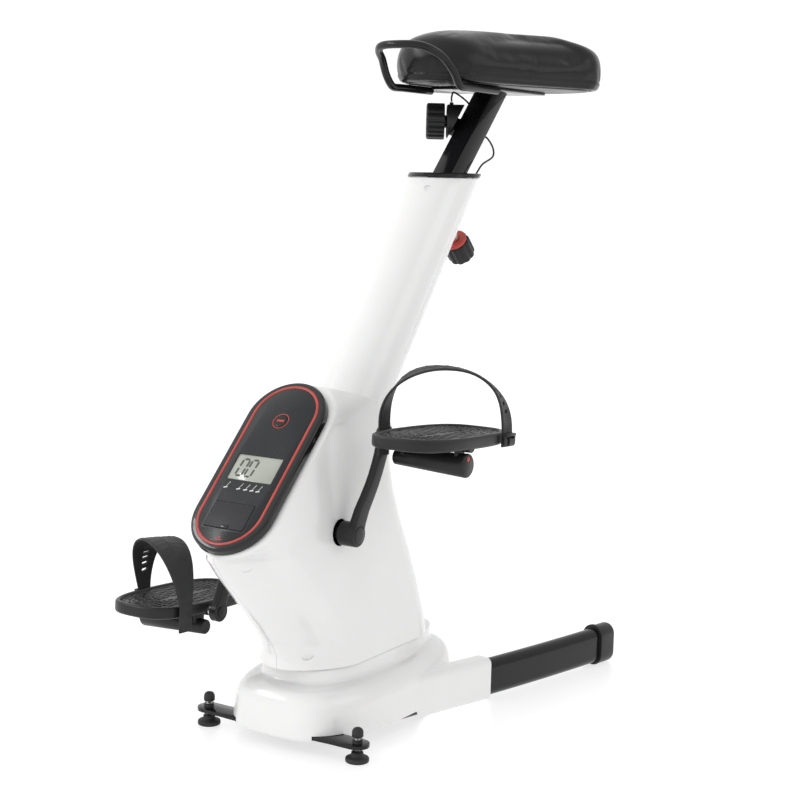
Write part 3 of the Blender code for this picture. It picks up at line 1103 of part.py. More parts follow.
# Pedals: plate, barrel below, strap over it with its buckle, and the spindle from the crank
def pedal(label, side):
    eye = Vector((0.0, CRANK_Y, CRANK_Z)) + crank_out * side * CRANK_RADIUS
    toe = Matrix.Rotation(-PEDAL_TOE_UP, 4, "X")
    middle_x = side * (PEDAL_INNER_X + PEDAL_WIDTH / 2.0)
    at = Matrix.Translation((middle_x, eye.y, eye.z)) @ toe
    spindle = SPINDLE_DIAMETER / 2.0
    spindle_start = side * (CRANK_END_INNER - 0.002)
    spindle_end = side * (PEDAL_INNER_X + PEDAL_WIDTH - 0.016)
    low, high = sorted((spindle_start, spindle_end))
    spindle_frame = x_axis_frame(0.0, eye.y, eye.z)
    rod = add(label + "_spindle", prism(circle(spindle, 18), low, high, spindle_frame), STEEL)
    flange_low, flange_high = sorted((side * (CRANK_END_OUTER + GAP), side * (CRANK_END_OUTER + 0.006)))
    flange = prism(circle(0.0085, 6), flange_low, flange_high, spindle_frame)
    cut(rod, cutter_from(label + "_flange", flange), "UNION")

    # The plate: a tray with a raised rim, a tread floor and a cross tube for the spindle
    shape = stadium_like(PEDAL_LENGTH, PEDAL_WIDTH)
    turned_shape = Matrix.Rotation(math.radians(90.0), 4, "Z")
    forward = Matrix.Translation((0.0, PEDAL_FORWARD, 0.0))
    plate_frame = at @ forward @ turned_shape
    plate = add(label + "_pedal", prism(shape, PEDAL_TOP - PEDAL_RIM, PEDAL_TOP, plate_frame, bevel=0.003,
                                              bevel_low=0.003), BLACK_PLASTIC)
    dish = prism(stadium_like(PEDAL_LENGTH - 0.014, PEDAL_WIDTH - 0.014), PEDAL_TOP - 0.0035, 0.05, plate_frame)
    cut(plate, cutter_from(label + "_dish", dish))
    under = prism(stadium_like(PEDAL_LENGTH - 0.012, PEDAL_WIDTH - 0.012), -0.05, PEDAL_TOP - 0.0035 - PEDAL_FLOOR
                  * 0.5, plate_frame)
    cut(plate, cutter_from(label + "_under", under))
    half = PEDAL_WIDTH / 2.0
    boss_frame = at @ Matrix.Rotation(math.radians(90.0), 4, "Y")
    boss = prism(circle(SPINDLE_BOSS_DIAMETER / 2.0, 16), -half + 0.001, half - 0.001, boss_frame)
    cut(plate, cutter_from(label + "_boss", boss), "UNION")
    run = spindle + RUNNING_GAP
    inner_end, outer_end = sorted((-side * (half + 0.01), side * (half - 0.010)))
    bore = prism(circle(run, 16), inner_end, outer_end, boss_frame)
    cut(plate, cutter_from(label + "_spindle_bore", bore))
    for k in (-1, 1):
        web_at = at @ Matrix.Translation((k * (half - 0.020), 0.0, 0.0))
        web_outline = rounded_rectangle(0.006, 0.020, 0.001, 1)
        web = prism(web_outline, -BARREL_DROP - 0.001, -0.008, web_at)
        cut(plate, cutter_from(label + "_hanger", web), "UNION")

    # The weighted barrel that keeps the plate level
    barrel = BARREL_DIAMETER / 2.0
    outwards = Matrix.Rotation(math.radians(90.0 * side), 4, "Y")
    barrel_at = at @ Matrix.Translation((0.0, 0.0, -BARREL_DROP)) @ outwards
    reflector_at = at @ Matrix.Translation((0.0, 0.0, REFLECTOR_ABOVE_BARREL - BARREL_DROP)) @ outwards
    half_barrel = BARREL_LENGTH / 2.0
    narrow = BARREL_INNER_DIAMETER / 2.0
    profile = [(0.0, -half_barrel), (narrow - 0.001, -half_barrel), (narrow, -half_barrel + 0.001),
               (barrel, half_barrel - 0.002), (barrel - 0.002, half_barrel), (0.0, half_barrel)]
    cut(plate, cutter_from(label + "_barrel", turned(profile, barrel_at, 16)), "UNION")
    reflector = REFLECTOR_DIAMETER / 2.0
    pocket_floor = half_barrel - REFLECTOR_THICKNESS - GAP
    pocket = prism(circle(reflector + GAP, 12), pocket_floor, half_barrel + 0.01, reflector_at)
    cut(plate, cutter_from(label + "_pocket", pocket))
    add(label + "_reflector", prism(circle(reflector, 12), half_barrel - REFLECTOR_THICKNESS, half_barrel - 0.0005,
                                    reflector_at), RED)

    # The strap: a wide band that runs down outside the rim at both ends and leans across the plate
    def rim_at(y):
        reach = min(abs(y - PEDAL_FORWARD) / (PEDAL_LENGTH / 2.0), 1.0) ** (1.0 / 0.72)
        return half * math.sqrt(1.0 - reach * reach) ** 0.60

    clear = STRAP_THICKNESS / 2.0 + 2.0 * GAP
    ahead = STRAP_INNER_FORWARD[label]
    back = STRAP_OUTER_BACK[label]
    inner_foot = Vector((-side * (rim_at(STRAP_END_WIDTH / 2.0 - ahead) + clear), -ahead, PEDAL_TOP))
    outer_foot = Vector((side * (rim_at(back - STRAP_END_WIDTH / 2.0) + clear), back, PEDAL_TOP))
    chord = outer_foot - inner_foot
    diagonal = Vector((-chord.y, chord.x, 0.0)).normalized()
    if diagonal.y < 0.0:
        diagonal = -diagonal
    centres = [inner_foot - Vector((0.0, 0.0, STRAP_INNER_DROP)), inner_foot - Vector((0.0, 0.0, 0.010))]
    steps = 18
    for i in range(steps + 1):
        angle = math.pi * i / steps
        share = (1.0 - math.copysign(abs(math.cos(angle)) ** 0.92, math.cos(angle))) / 2.0
        rise = math.sin(angle) ** 0.82
        centres.append(inner_foot + chord * share + Vector((0.0, -0.012 * rise, STRAP_HEIGHT * rise)))
    centres += [outer_foot - Vector((0.0, 0.0, 0.010)), outer_foot - Vector((0.0, 0.0, STRAP_OUTER_DROP))]
    rings = []
    for k, point in enumerate(centres):
        swell = math.sin(math.pi * min(max((k - 2) / steps, 0.0), 1.0))
        tangent = centres[min(k + 1, len(centres) - 1)] - centres[max(k - 1, 0)]
        if swell < 0.01:
            tangent = Vector((0.0, 0.0, tangent.z))
        across = Vector((0.0, 1.0, 0.0)).lerp(diagonal, swell).normalized()
        across -= tangent.normalized() * across.dot(tangent.normalized())
        across.normalize()
        thick = across.cross(tangent).normalized() * STRAP_THICKNESS / 2.0
        wide = across * (STRAP_END_WIDTH + (STRAP_WIDTH - STRAP_END_WIDTH) * swell ** 0.9) / 2.0
        rings.append([at @ (point + wide + thick), at @ (point - wide + thick), at @ (point - wide - thick),
                      at @ (point + wide - thick)])
    add(label + "_strap", ring_loft(rings), BLACK_RUBBER)
    outward = Vector((side, 0.0, 0.0))
    buckle_root = outer_foot + outward * (STRAP_THICKNESS / 2.0 + GAP) - Vector((0.0, 0.0, STRAP_OUTER_DROP / 2.0))
    buckle = prism(rounded_rectangle(BUCKLE_HEIGHT, BUCKLE_LENGTH, 0.004), 0.0, BUCKLE_THICKNESS,
                   at @ aimed(buckle_root, outward, (0.0, 0.0, 1.0)), bevel=0.002)
    add(label + "_buckle", buckle, BLACK_PLASTIC)


def stadium_like(length, width, steps=20):
    """The plate's outline: a long rounded shape between an ellipse and a rectangle."""
    points = []
    for i in range(steps):
        angle = 2.0 * math.pi * i / steps
        a = length / 2.0 * math.copysign(abs(math.cos(angle)) ** 0.72, math.cos(angle))
        b = width / 2.0 * math.copysign(abs(math.sin(angle)) ** 0.60, math.sin(angle))
        points.append((a, b))
    return points


pedal("left", 1.0)
pedal("right", -1.0)


# Seat: cushion, board, bracket and the bent handle loop
def seat_ring(z, inset, count=36):
    """The cushion's outline at one height: a narrow nose that widens to the rear."""
    points = []
    nose = SEAT_NOSE_WIDTH / 2.0
    tail = SEAT_REAR_WIDTH / 2.0
    length = SEAT_LENGTH - 2.0 * inset
    front = SEAT_FRONT_BEHIND_FEET + inset
    half_count = count // 2
    side = []
    for i in range(half_count + 1):
        t = (1.0 - math.cos(math.pi * i / half_count)) / 2.0
        run = t * length
        grow = min(t / 0.74, 1.0)
        half = nose + (tail - nose) * grow ** 1.12 - inset
        front_radius = 0.045
        rear_radius = 0.095
        if run < front_radius:
            half *= max(0.0, 1.0 - (1.0 - run / front_radius) ** 2.4) ** (1.0 / 2.4)
        if length - run < rear_radius:
            half *= max(0.0, 1.0 - (1.0 - (length - run) / rear_radius) ** 2.6) ** (1.0 / 2.6)
        side.append((half, front + run))
    points = [Vector((0.0, side[0][1], z))] + [Vector((h, y, z)) for h, y in side[1:-1]]
    points += [Vector((0.0, side[-1][1], z))] + [Vector((-h, y, z)) for h, y in reversed(side[1:-1])]
    return points


cushion_levels = [(0.0, 0.005), (0.003, 0.001), (0.014, 0.0), (0.034, 0.0), (0.048, 0.002), (0.058, 0.008),
                  (0.065, 0.018), (0.0695, 0.033), (0.0720, 0.052)]
scale_up = SEAT_THICKNESS / 0.072
cushion = add("seat_cushion", ring_loft([seat_ring(SEAT_BOTTOM + up * scale_up, inset) for up, inset in
                                         cushion_levels]), LEATHER)
recess = ring_loft([seat_ring(SEAT_BOTTOM - 0.01, 0.014, 28), seat_ring(SEAT_BOTTOM + SEAT_RECESS, 0.014, 28)])
cut(cushion, cutter_from("seat_recess", recess))
board_rings = [seat_ring(board_low, 0.017, 28), seat_ring(SEAT_STACK_TOP, 0.015, 28)]
add("seat_board", ring_loft(board_rings), BLACK_PLASTIC)
bracket_middle = along_post(post_top_length).y - 0.006
bracket_place = Matrix.Translation((0.0, bracket_middle, bracket_low))
bracket_outline = rounded_rectangle(HANDLE_WIDTH - HANDLE_TUBE - 2.0 * GAP, BRACKET_LENGTH, 0.004)
add("seat_bracket", prism(bracket_outline, 0.0, BRACKET_THICKNESS, bracket_place), BLACK_PAINT)
handle_radius = HANDLE_TUBE / 2.0
handle_level = board_low - GAP - handle_radius
half_handle = HANDLE_WIDTH / 2.0
under_seat = [(HANDLE_REAR, 0.0), (0.075, 0.0), (0.040, 0.0), (0.019, 0.0), (0.008, 0.005), (-0.005, 0.019)]
one_side = [(half_handle, SEAT_FRONT_BEHIND_FEET + back, handle_level + up) for back, up in under_seat]
for narrower, ahead, below in ((0.006, HANDLE_REACH - 0.044, 0.018), (0.014, HANDLE_REACH - 0.022, 0.007),
                               (0.030, HANDLE_REACH - 0.006, 0.001)):
    one_side.append((half_handle - narrower, SEAT_FRONT_BEHIND_FEET - ahead, HANDLE_RISE - below))
loop = [Vector(p) for p in one_side] + [Vector((0.0, SEAT_FRONT_BEHIND_FEET - HANDLE_REACH, HANDLE_RISE))]
loop += [Vector((-x, y, z)) for x, y, z in reversed(one_side)]
handle_path = smooth_path(loop, 2)
add("seat_handle", swept(handle_path, circle(handle_radius, 8)), BLACK_PAINT)

# Tension control on the post: a slanted housing and a fluted knob, turned towards the right hand
swing_axis = Vector((-math.cos(TENSION_SWING), -math.sin(TENSION_SWING), 0.0))
level_across = Vector((math.sin(TENSION_SWING), -math.cos(TENSION_SWING), 0.0))
cut_normal = POST_AXIS.cross(level_across).normalized()
if cut_normal.dot(swing_axis) < 0.0:
    cut_normal = -cut_normal
corner = along_post(TENSION_ALONG_POST, -POST_SIDE / 2.0, POST_SIDE / 2.0)
TENSION_ROOT = corner + cut_normal * TENSION_OFF_CORNER
tension_frame = aimed(TENSION_ROOT, swing_axis, (0.0, 0.0, 1.0))
housing_end = TENSION_HOUSING_LENGTH
tension_radius = TENSION_DIAMETER / 2.0
tension_housing = add("tension_housing", prism(circle(tension_radius, 32), -0.05, housing_end, tension_frame,
                                               bevel=0.003), BLACK_PLASTIC)
behind_plane = aimed(TENSION_ROOT, -cut_normal, POST_AXIS)
cut(tension_housing, cutter_from("housing_back", prism(rounded_rectangle(0.3, 0.3, 0.01), 0.0, 0.2, behind_plane)))
gland_at = TENSION_ROOT + swing_axis * (housing_end / 2.0) + Vector((0.0, 0.0, tension_radius))
gland = prism(circle(0.0032, 14), -0.002, 0.0035, Matrix.Translation(gland_at))
cut(tension_housing, cutter_from("gland", gland), "UNION")
knob_low = housing_end + 0.003
tension_knob = add("tension_knob", prism(fluted(TENSION_KNOB_DIAMETER / 2.0, 0.0016, TENSION_FLUTES), knob_low,
                                         knob_low + TENSION_KNOB_LENGTH, tension_frame, bevel=0.004,
                                         bevel_low=0.0015), BLACK_PLASTIC)
neck = prism(circle(0.010, 20), housing_end + GAP, knob_low + 0.002, tension_frame)
cut(tension_knob, cutter_from("knob_neck", neck), "UNION")
wedge_half = 0.012
wedge_rings = []
for step in (-wedge_half, wedge_half):
    base = corner + POST_AXIS * step
    inner_a = base + Vector((-GAP, 0.0, 0.0)) - POST_FRONT * 0.003
    inner_b = base + Vector((-GAP, 0.0, 0.0)) - POST_FRONT * 0.026
    slide_back = (level_across - POST_AXIS * level_across.dot(POST_AXIS)).normalized()
    if slide_back.dot(Vector((-1.0, 0.0, 0.0))) < 0.0:
        slide_back = -slide_back
    face = base + cut_normal * (TENSION_OFF_CORNER - GAP)
    wedge_rings.append([inner_a, face + slide_back * 0.004, face + slide_back * 0.022, inner_b])
add("tension_bracket", ring_loft(wedge_rings), BLACK_PAINT, smooth=False)

# Thin control cable: out of the housing, round behind the post, in a loop and down into the mast
gland_top = gland_at + Vector((0.0, 0.0, 0.0035 + 2.0 * GAP))
cable_above = along_post(0.048, 0.0273, -0.0290)
cable_below = along_post(0.000, 0.0288, -0.0200)
cable_points = [gland_top, gland_top + Vector((0.0, 0.0, 0.008)), gland_top + Vector((0.0, 0.010, 0.0145)),
                along_post(0.146, -0.0235, 0.004), along_post(0.132, -0.0220, -0.019),
                along_post(0.116, -0.012, -0.0222), along_post(0.108, 0.0, -0.0248),
                along_post(0.108, 0.010, -0.031), along_post(0.101, 0.018, -0.046),
                along_post(0.083, 0.024, -0.048), cable_above, (cable_above + cable_below) / 2.0, cable_below,
                along_post(-0.040, 0.0295, -0.0210),
                along_post(-0.100, 0.0295, -0.026), along_post(-0.200, 0.0295, -0.026),
                along_post(-0.270, 0.026, -0.032), along_post(-0.330, 0.016, -0.036),
                Vector((0.010, 0.186, 0.445)), Vector((0.006, 0.172, 0.408))]
lift_end = Vector((FLYWHEEL_X, FLYWHEEL_Y, FLYWHEEL_Z)) + Vector((0.0, math.cos(brake_low + 0.06),
                  math.sin(brake_low + 0.06))) * (arc_inner + BRAKE_THICKNESS + 0.0012)
cable_points += [Vector((0.002, 0.182, 0.370)), lift_end + Vector((0.0, -0.012, 0.040)), lift_end]
cable_run = aimed(cable_below, cable_above - cable_below)
cable_hole = prism(circle(CABLE_DIAMETER / 2.0 + 0.0012, 14), -0.03, 0.07, cable_run)
cut(mast_collar, cutter_from("cable_hole", cable_hole))
cable_shape = circle(CABLE_DIAMETER / 2.0, 5)
add("tension_cable", swept(smooth_path(cable_points, 3), cable_shape, (0.03, 0.05, 1.0)), BLACK_RUBBER)

# Speed sensor beside the pulley
sensor_at = x_axis_frame(SPINE_WIDTH / 2.0 + GAP, SPINE_Y, CRANK_Z + 0.060)
sensor_reach = PULLEY_X - half_pulley - SPINE_WIDTH / 2.0 - 0.0025
add("speed_sensor", prism(rounded_rectangle(0.014, 0.020, 0.002), 0.0, sensor_reach, sensor_at, bevel=0.001),
    BLACK_PLASTIC)
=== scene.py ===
"""Looks of a desk exercise bike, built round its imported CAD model.

Metres, +Z up, -Y to the front where the console is. Places that the bike's drawing counts from the
line of its two front feet are turned into the model's frame by place().
"""
import math

import bpy
from mathutils import Matrix, Vector


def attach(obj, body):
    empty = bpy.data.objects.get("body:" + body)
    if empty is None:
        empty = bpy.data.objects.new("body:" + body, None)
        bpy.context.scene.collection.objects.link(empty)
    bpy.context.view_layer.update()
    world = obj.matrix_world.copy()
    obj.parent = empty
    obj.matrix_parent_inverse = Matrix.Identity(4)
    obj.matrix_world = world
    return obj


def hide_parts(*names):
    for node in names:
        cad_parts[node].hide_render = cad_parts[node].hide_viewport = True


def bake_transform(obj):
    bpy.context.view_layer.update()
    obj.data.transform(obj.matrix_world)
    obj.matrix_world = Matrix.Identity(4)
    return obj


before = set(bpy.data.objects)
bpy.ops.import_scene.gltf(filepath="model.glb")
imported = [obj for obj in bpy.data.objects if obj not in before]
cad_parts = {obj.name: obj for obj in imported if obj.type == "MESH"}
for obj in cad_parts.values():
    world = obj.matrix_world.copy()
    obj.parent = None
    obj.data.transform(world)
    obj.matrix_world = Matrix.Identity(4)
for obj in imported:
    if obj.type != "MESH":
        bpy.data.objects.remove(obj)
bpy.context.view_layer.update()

# Camera: a long lens a little above the seat's height, off the front left of the bike, and
# rolled by a little over a degree, as the photograph was taken.
FEET_LINE_Y = -0.2638


def place(x, behind_feet, z):
    return Vector((x, FEET_LINE_Y + behind_feet, z))


CAMERA_SPOT = place(1.282259, -1.758197, 0.793392)
CAMERA_TURN = 0.558505
CAMERA_PITCH = 0.138764
CAMERA_ROLL = 0.0248777
LENS_MM = 72.17
SENSOR_MM = 36.0

aim = Vector((-math.sin(CAMERA_TURN) * math.cos(CAMERA_PITCH),
        math.cos(CAMERA_TURN) * math.cos(CAMERA_PITCH), -math.sin(CAMERA_PITCH)))
level_right = Vector((math.cos(CAMERA_TURN), math.sin(CAMERA_TURN), 0.0))
level_up = level_right.cross(aim)
view_right = level_right * math.cos(CAMERA_ROLL) + level_up * math.sin(CAMERA_ROLL)
view_up = level_up * math.cos(CAMERA_ROLL) - level_right * math.sin(CAMERA_ROLL)
camera_data = bpy.data.cameras.new("camera")
camera_data.lens = LENS_MM
camera_data.sensor_width = SENSOR_MM
camera = bpy.data.objects.new("camera", camera_data)
bpy.context.scene.collection.objects.link(camera)
camera.matrix_world = Matrix.Translation(CAMERA_SPOT) @ Matrix(
        [[view_right[i], view_up[i], -aim[i]] for i in range(3)]).to_4x4()
bpy.context.scene.camera = camera


# Tension cable: 3 mm black control cable. It leaves the top of the tension housing, loops round
# behind the post and runs down through the collar and the mast to the brake arm.
CABLE_DIAMETER = 0.003
POST_TILT = math.radians(43.5)
POST_AXIS = Vector((0.0, math.sin(POST_TILT), math.cos(POST_TILT)))
POST_FRONT = Vector((0.0, -math.cos(POST_TILT), math.sin(POST_TILT)))
POST_AT_COLLAR = place(0.0, 0.4245, 0.800)
NOISE_SPAN = (0.3, 0.7)


def up_post(distance, x=0.0, forward=0.0):
    """A point counted along the seat post from the collar, to the left, and out of its front face."""
    return POST_AT_COLLAR + POST_AXIS * distance + POST_FRONT * forward + Vector((x, 0.0, 0.0))


def clear_selection():
    if bpy.context.object and bpy.context.object.mode != "OBJECT":
        bpy.ops.object.mode_set(mode="OBJECT")
    bpy.ops.object.select_all(action="DESELECT")


def pick(piece):
    clear_selection()
    piece.select_set(True)
    bpy.context.view_layer.objects.active = piece


def skin(name, rings, round_again=False):
    """A grid wrapped round rings of points, sewn along its seam and filled at both ends."""
    across = len(rings[0])
    rows = list(rings) + ([rings[0]] if round_again else [])
    clear_selection()
    bpy.ops.mesh.primitive_grid_add(x_subdivisions=across, y_subdivisions=len(rows) - 1, size=1.0)
    made = bpy.context.object
    made.name = name
    flat = []
    for ring in rows:
        for point in list(ring) + [ring[0]]:
            flat.extend(point)
    made.data.vertices.foreach_set("co", flat)
    made.data.update()
    bpy.ops.object.mode_set(mode="EDIT")
    bpy.ops.mesh.select_all(action="SELECT")
    bpy.ops.mesh.remove_doubles(threshold=1e-6)
    if not round_again:
        bpy.ops.mesh.select_all(action="SELECT")
        bpy.ops.mesh.fill_holes(sides=0)
    bpy.ops.mesh.select_all(action="SELECT")
    bpy.ops.mesh.normals_make_consistent(inside=False)
    bpy.ops.object.mode_set(mode="OBJECT")
    return made


def smooth(piece, degrees=35.0):
    pick(piece)
    bpy.ops.object.shade_smooth_by_angle(angle=math.radians(degrees))
    return piece


def through(points, steps):
    """Points on a smooth curve through the given ones."""
    knots = [Vector(p) for p in points]
    knots = [knots[0] * 2.0 - knots[1]] + knots + [knots[-1] * 2.0 - knots[-2]]
    path = []
    for k in range(1, len(knots) - 2):
        a, b, c, d = knots[k - 1:k + 3]
        for i in range(steps):
            t = i / steps
            path.append(0.5 * (2.0 * b + (c - a) * t + (2.0 * a - 5.0 * b + 4.0 * c - d) * t * t
                    + (3.0 * b - a - 3.0 * c + d) * t ** 3))
    path.append(knots[-2])
    return path


def circle(radius, count):
    turn = 2.0 * math.pi / count
    return [(radius * math.cos(i * turn), radius * math.sin(i * turn)) for i in range(count)]


def along(path, outline, up=(0.0, 0.0, 1.0)):
    """Rings of an outline (across, up) carried along a path without twisting."""
    rings = []
    across = None
    for k, point in enumerate(path):
        run = (path[min(k + 1, len(path) - 1)] - path[max(k - 1, 0)]).normalized()
        across = run.cross(Vector(up)) if across is None else across - run * across.dot(run)
        across.normalize()
        rise = across.cross(run)
        rings.append([point + across * a + rise * b for a, b in outline])
    return rings


def noise_of(material, scale, detail=3.0, stretch=(1.0, 1.0, 1.0)):
    nodes, links = material.node_tree.nodes, material.node_tree.links
    coordinates = nodes.new("ShaderNodeTexCoord")
    mapping = nodes.new("ShaderNodeMapping")
    mapping.inputs["Scale"].default_value = stretch
    noise = nodes.new("ShaderNodeTexNoise")
    noise.inputs["Scale"].default_value = scale
    noise.inputs["Detail"].default_value = detail
    links.new(coordinates.outputs["Object"], mapping.inputs["Vector"])
    links.new(mapping.outputs["Vector"], noise.inputs["Vector"])
    return noise.outputs["Fac"]


def relief(material, source, height):
    """Leads a 0..1 source into a bump of real height in metres."""
    nodes, links = material.node_tree.nodes, material.node_tree.links
    bump = nodes.new("ShaderNodeBump")
    bump.inputs["Distance"].default_value = height
    links.new(source, bump.inputs["Height"])
    links.new(bump.outputs["Normal"], nodes["Principled BSDF"].inputs["Normal"])


def finish(name, colour, roughness, metallic=0.0, shades=None, sheen=None, grain=None, **sockets):
    """A Principled finish whose even values sit on the shader's own sockets. Each of shades, sheen and
    grain is a noise's scale and detail, then what it varies: two colours, two roughnesses, a height."""
    made = bpy.data.materials.new(name)
    made.use_nodes = True
    nodes, links = made.node_tree.nodes, made.node_tree.links
    inputs = nodes["Principled BSDF"].inputs
    inputs["Base Color"].default_value = (*colour, 1.0)
    for socket, value in dict(Roughness=roughness, Metallic=metallic, **sockets).items():
        inputs[socket.replace("_", " ")].default_value = value
    if shades:
        ramp = nodes.new("ShaderNodeValToRGB")
        for element, position, shade in zip(ramp.color_ramp.elements, NOISE_SPAN, shades[2:]):
            element.position, element.color = position, (*shade, 1.0)
        links.new(noise_of(made, *shades[:2]), ramp.inputs["Fac"])
        links.new(ramp.outputs["Color"], inputs["Base Color"])
    if sheen:
        scale, detail, low, high, *stretch = sheen
        spread = nodes.new("ShaderNodeMapRange")
        for socket, value in zip(("From Min", "From Max", "To Min", "To Max"), (*NOISE_SPAN, low, high)):
            spread.inputs[socket].default_value = value
        links.new(noise_of(made, scale, detail, *stretch), spread.inputs["Value"])
        links.new(spread.outputs["Result"], inputs["Roughness"])
    if grain:
        relief(made, noise_of(made, *grain[:2]), grain[2])
    return made


def hang(piece, body, slot, material, *nodes):
    """Gives a finished piece its finish and its body, and hides the CAD nodes that it stands for."""
    piece.data.materials.clear()
    piece.data.materials.append(material)
    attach(piece, body)
    if nodes:
        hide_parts(*nodes)


TENSION_SWING = math.radians(32.0)
TENSION_ROOT = place(-0.020652, 0.473115, 0.880697)
TENSION_AXIS = Vector((-math.cos(TENSION_SWING), -math.sin(TENSION_SWING), 0.0))
TENSION_DIAMETER = 0.054
HOUSING_LENGTH = 0.015
gland_spot = TENSION_ROOT + TENSION_AXIS * (HOUSING_LENGTH / 2.0) + Vector(
        (0.0, 0.0, TENSION_DIAMETER / 2.0))
cable_start = gland_spot + Vector((0.0, 0.0, 0.0041))
cable_high = up_post(0.048, 0.0273, -0.0290)
cable_low = up_post(0.000, 0.0288, -0.0200)
brake_end = place(-0.002, 0.172, 0.212) + Vector(
        (0.0, math.cos(math.radians(52.0) + 0.06), math.sin(math.radians(52.0) + 0.06))) * 0.0892
cable_route = [cable_start, cable_start + Vector((0.0, 0.0, 0.008)), cable_start
        + Vector((0.0, 0.010, 0.0145)), up_post(0.146, -0.0235, 0.004), up_post(0.132, -0.0220, -0.019),
        up_post(0.116, -0.012, -0.0222), up_post(0.108, 0.0, -0.0248), up_post(0.108, 0.010, -0.031),
        up_post(0.101, 0.018, -0.046), up_post(0.083, 0.024, -0.048), cable_high, (cable_high + cable_low)
        / 2.0, cable_low, up_post(-0.040, 0.0295, -0.0210), up_post(-0.100, 0.0295, -0.026),
        up_post(-0.200, 0.0295, -0.026), up_post(-0.270, 0.026, -0.032), up_post(-0.330, 0.016, -0.036),
        place(0.010, 0.186, 0.445), place(0.006, 0.172, 0.408), place(0.002, 0.182, 0.370),
        brake_end + Vector((0.0, -0.0135, 0.045)), brake_end + Vector((0.0, -0.0042, 0.014))]
cable_path = through(cable_route, 12)
cable = smooth(skin("tension_cable_sheath",
        along(cable_path, circle(CABLE_DIAMETER / 2.0, 12), (0.03, 0.05, 1.0))))
cable.data.materials.clear()
cable.data.materials.append(finish("cable_sheath", (0.018, 0.018, 0.018), 0.45,
        sheen=(900.0, 3.0, 0.38, 0.55), grain=(900.0, 3.0, 0.00004)))
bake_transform(cable)
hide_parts("tension_cable")


# Base tube: a black painted flat-oval steel tube, bent to a horseshoe that opens to the rear. Its
# bend lies under the white cover and its two arms rest just above the floor.
TUBE_HEIGHT = 0.058
TUBE_WIDTH = 0.028
TUBE_MIDDLE_Z = 0.033
ARM_SPREAD = 0.203
ARM_END = 0.630


def stadium(length, width, steps=12):
    """A long outline with two half-round ends, long along its first axis."""
    radius = width / 2.0
    straight = length / 2.0 - radius
    points = []
    for side in (1, -1):
        for i in range(steps + 1):
            angle = -math.pi / 2.0 + math.pi * i / steps + (0.0 if side > 0 else math.pi)
            points.append((side * straight + radius * math.cos(angle), radius * math.sin(angle)))
    return points


def arm_points(side):
    half = [(0.0, 0.0655), (0.046, 0.0835), (0.080, 0.140), (0.108, 0.240), (0.137, 0.338), (0.166, 0.452),
            (0.190, 0.560), (ARM_SPREAD, ARM_END)]
    return [place(side * x, y, TUBE_MIDDLE_Z) for x, y in half]


BLACK_PAINT = finish("black_gloss_paint", (0.008, 0.008, 0.009), 0.16, sheen=(14.0, 4.0, 0.12, 0.24),
        grain=(260.0, 2.0, 0.00003), Coat_Weight=0.15, Coat_Roughness=0.06, Specular_IOR_Level=0.22)
tube_shape = [(b, a) for a, b in stadium(TUBE_HEIGHT, TUBE_WIDTH)]
tube_path = through(list(reversed(arm_points(-1.0))) + arm_points(1.0)[1:], 10)
horseshoe = smooth(skin("base_tube_painted", along(tube_path, tube_shape)))
hang(horseshoe, "frame", "black_paint", BLACK_PAINT, "base_tube")


# End caps: black plastic caps over the ends of the two arms, with a rounded nose and a raised lip
# round the mouth.
CAP_LENGTH = 0.034
CAP_TIP = 0.010
CAP_WALL = 0.003
SIDES = (("left", 1.0), ("right", -1.0))


def aimed(origin, direction, side=(1.0, 0.0, 0.0)):
    """A frame at origin whose third axis is the direction and whose first axis leans to side."""
    third = Vector(direction).normalized()
    first = (Vector(side) - third * third.dot(Vector(side))).normalized()
    second = third.cross(first)
    return Matrix([[first[i], second[i], third[i], Vector(origin)[i]] for i in range(3)]
            + [[0.0, 0.0, 0.0, 1.0]])


def drawn(outline, length, width, *more):
    """An outline as a function of how far its edge is drawn in."""
    return lambda draw: outline(length - 2.0 * draw, width - 2.0 * draw, *more)


def raised(frame_at, outline_of, levels):
    """Rings of outline_of(draw) at each (height, draw) along the frame's third axis."""
    return [[frame_at @ Vector((a, b, height)) for a, b in outline_of(draw)] for height, draw in levels]


def satin_plastic(name, colour, roughness):
    return finish(name, colour, roughness, sheen=(22.0, 4.0, roughness - 0.07, roughness + 0.09),
            grain=(1400.0, 2.0, 0.00005), Specular_IOR_Level=0.28)


BLACK_PLASTIC = satin_plastic("black_satin_plastic", (0.016, 0.016, 0.017), 0.34)
cap_height = TUBE_HEIGHT + CAP_WALL + 0.004
cap_width = TUBE_WIDTH + 2.0 * CAP_WALL
for label, side in SIDES:
    ends = arm_points(side)
    cap_at = aimed(ends[-1], ends[-1] - ends[-2], (0.0, 0.0, 1.0)) @ Matrix.Translation((-0.0005, 0.0, 0.0))
    lip_at = cap_at @ Matrix.Translation((0.00125, 0.0, 0.0))
    nose = [(-CAP_LENGTH + 0.0064, 0.0), (CAP_TIP - 0.0075, 0.0), (CAP_TIP - 0.0045, 0.0009),
            (CAP_TIP - 0.0020, 0.0028), (CAP_TIP - 0.0005, 0.0056), (CAP_TIP, 0.0090)]
    lip = [(-CAP_LENGTH, 0.0020), (-CAP_LENGTH, -0.0018), (-CAP_LENGTH + 0.0008, -0.0025),
            (-CAP_LENGTH + 0.0050, -0.0025), (-CAP_LENGTH + 0.0058, -0.0018), (-CAP_LENGTH + 0.0064, 0.0)]
    rings = raised(lip_at, drawn(stadium, cap_height - 0.0025, cap_width, 14), lip)
    rings += raised(cap_at, drawn(stadium, cap_height, cap_width, 14), nose)
    end_cap = smooth(skin(label + "_end_cap_moulded", rings), 40.0)
    hang(end_cap, "frame", "black_plastic", BLACK_PLASTIC, label + "_end_cap")


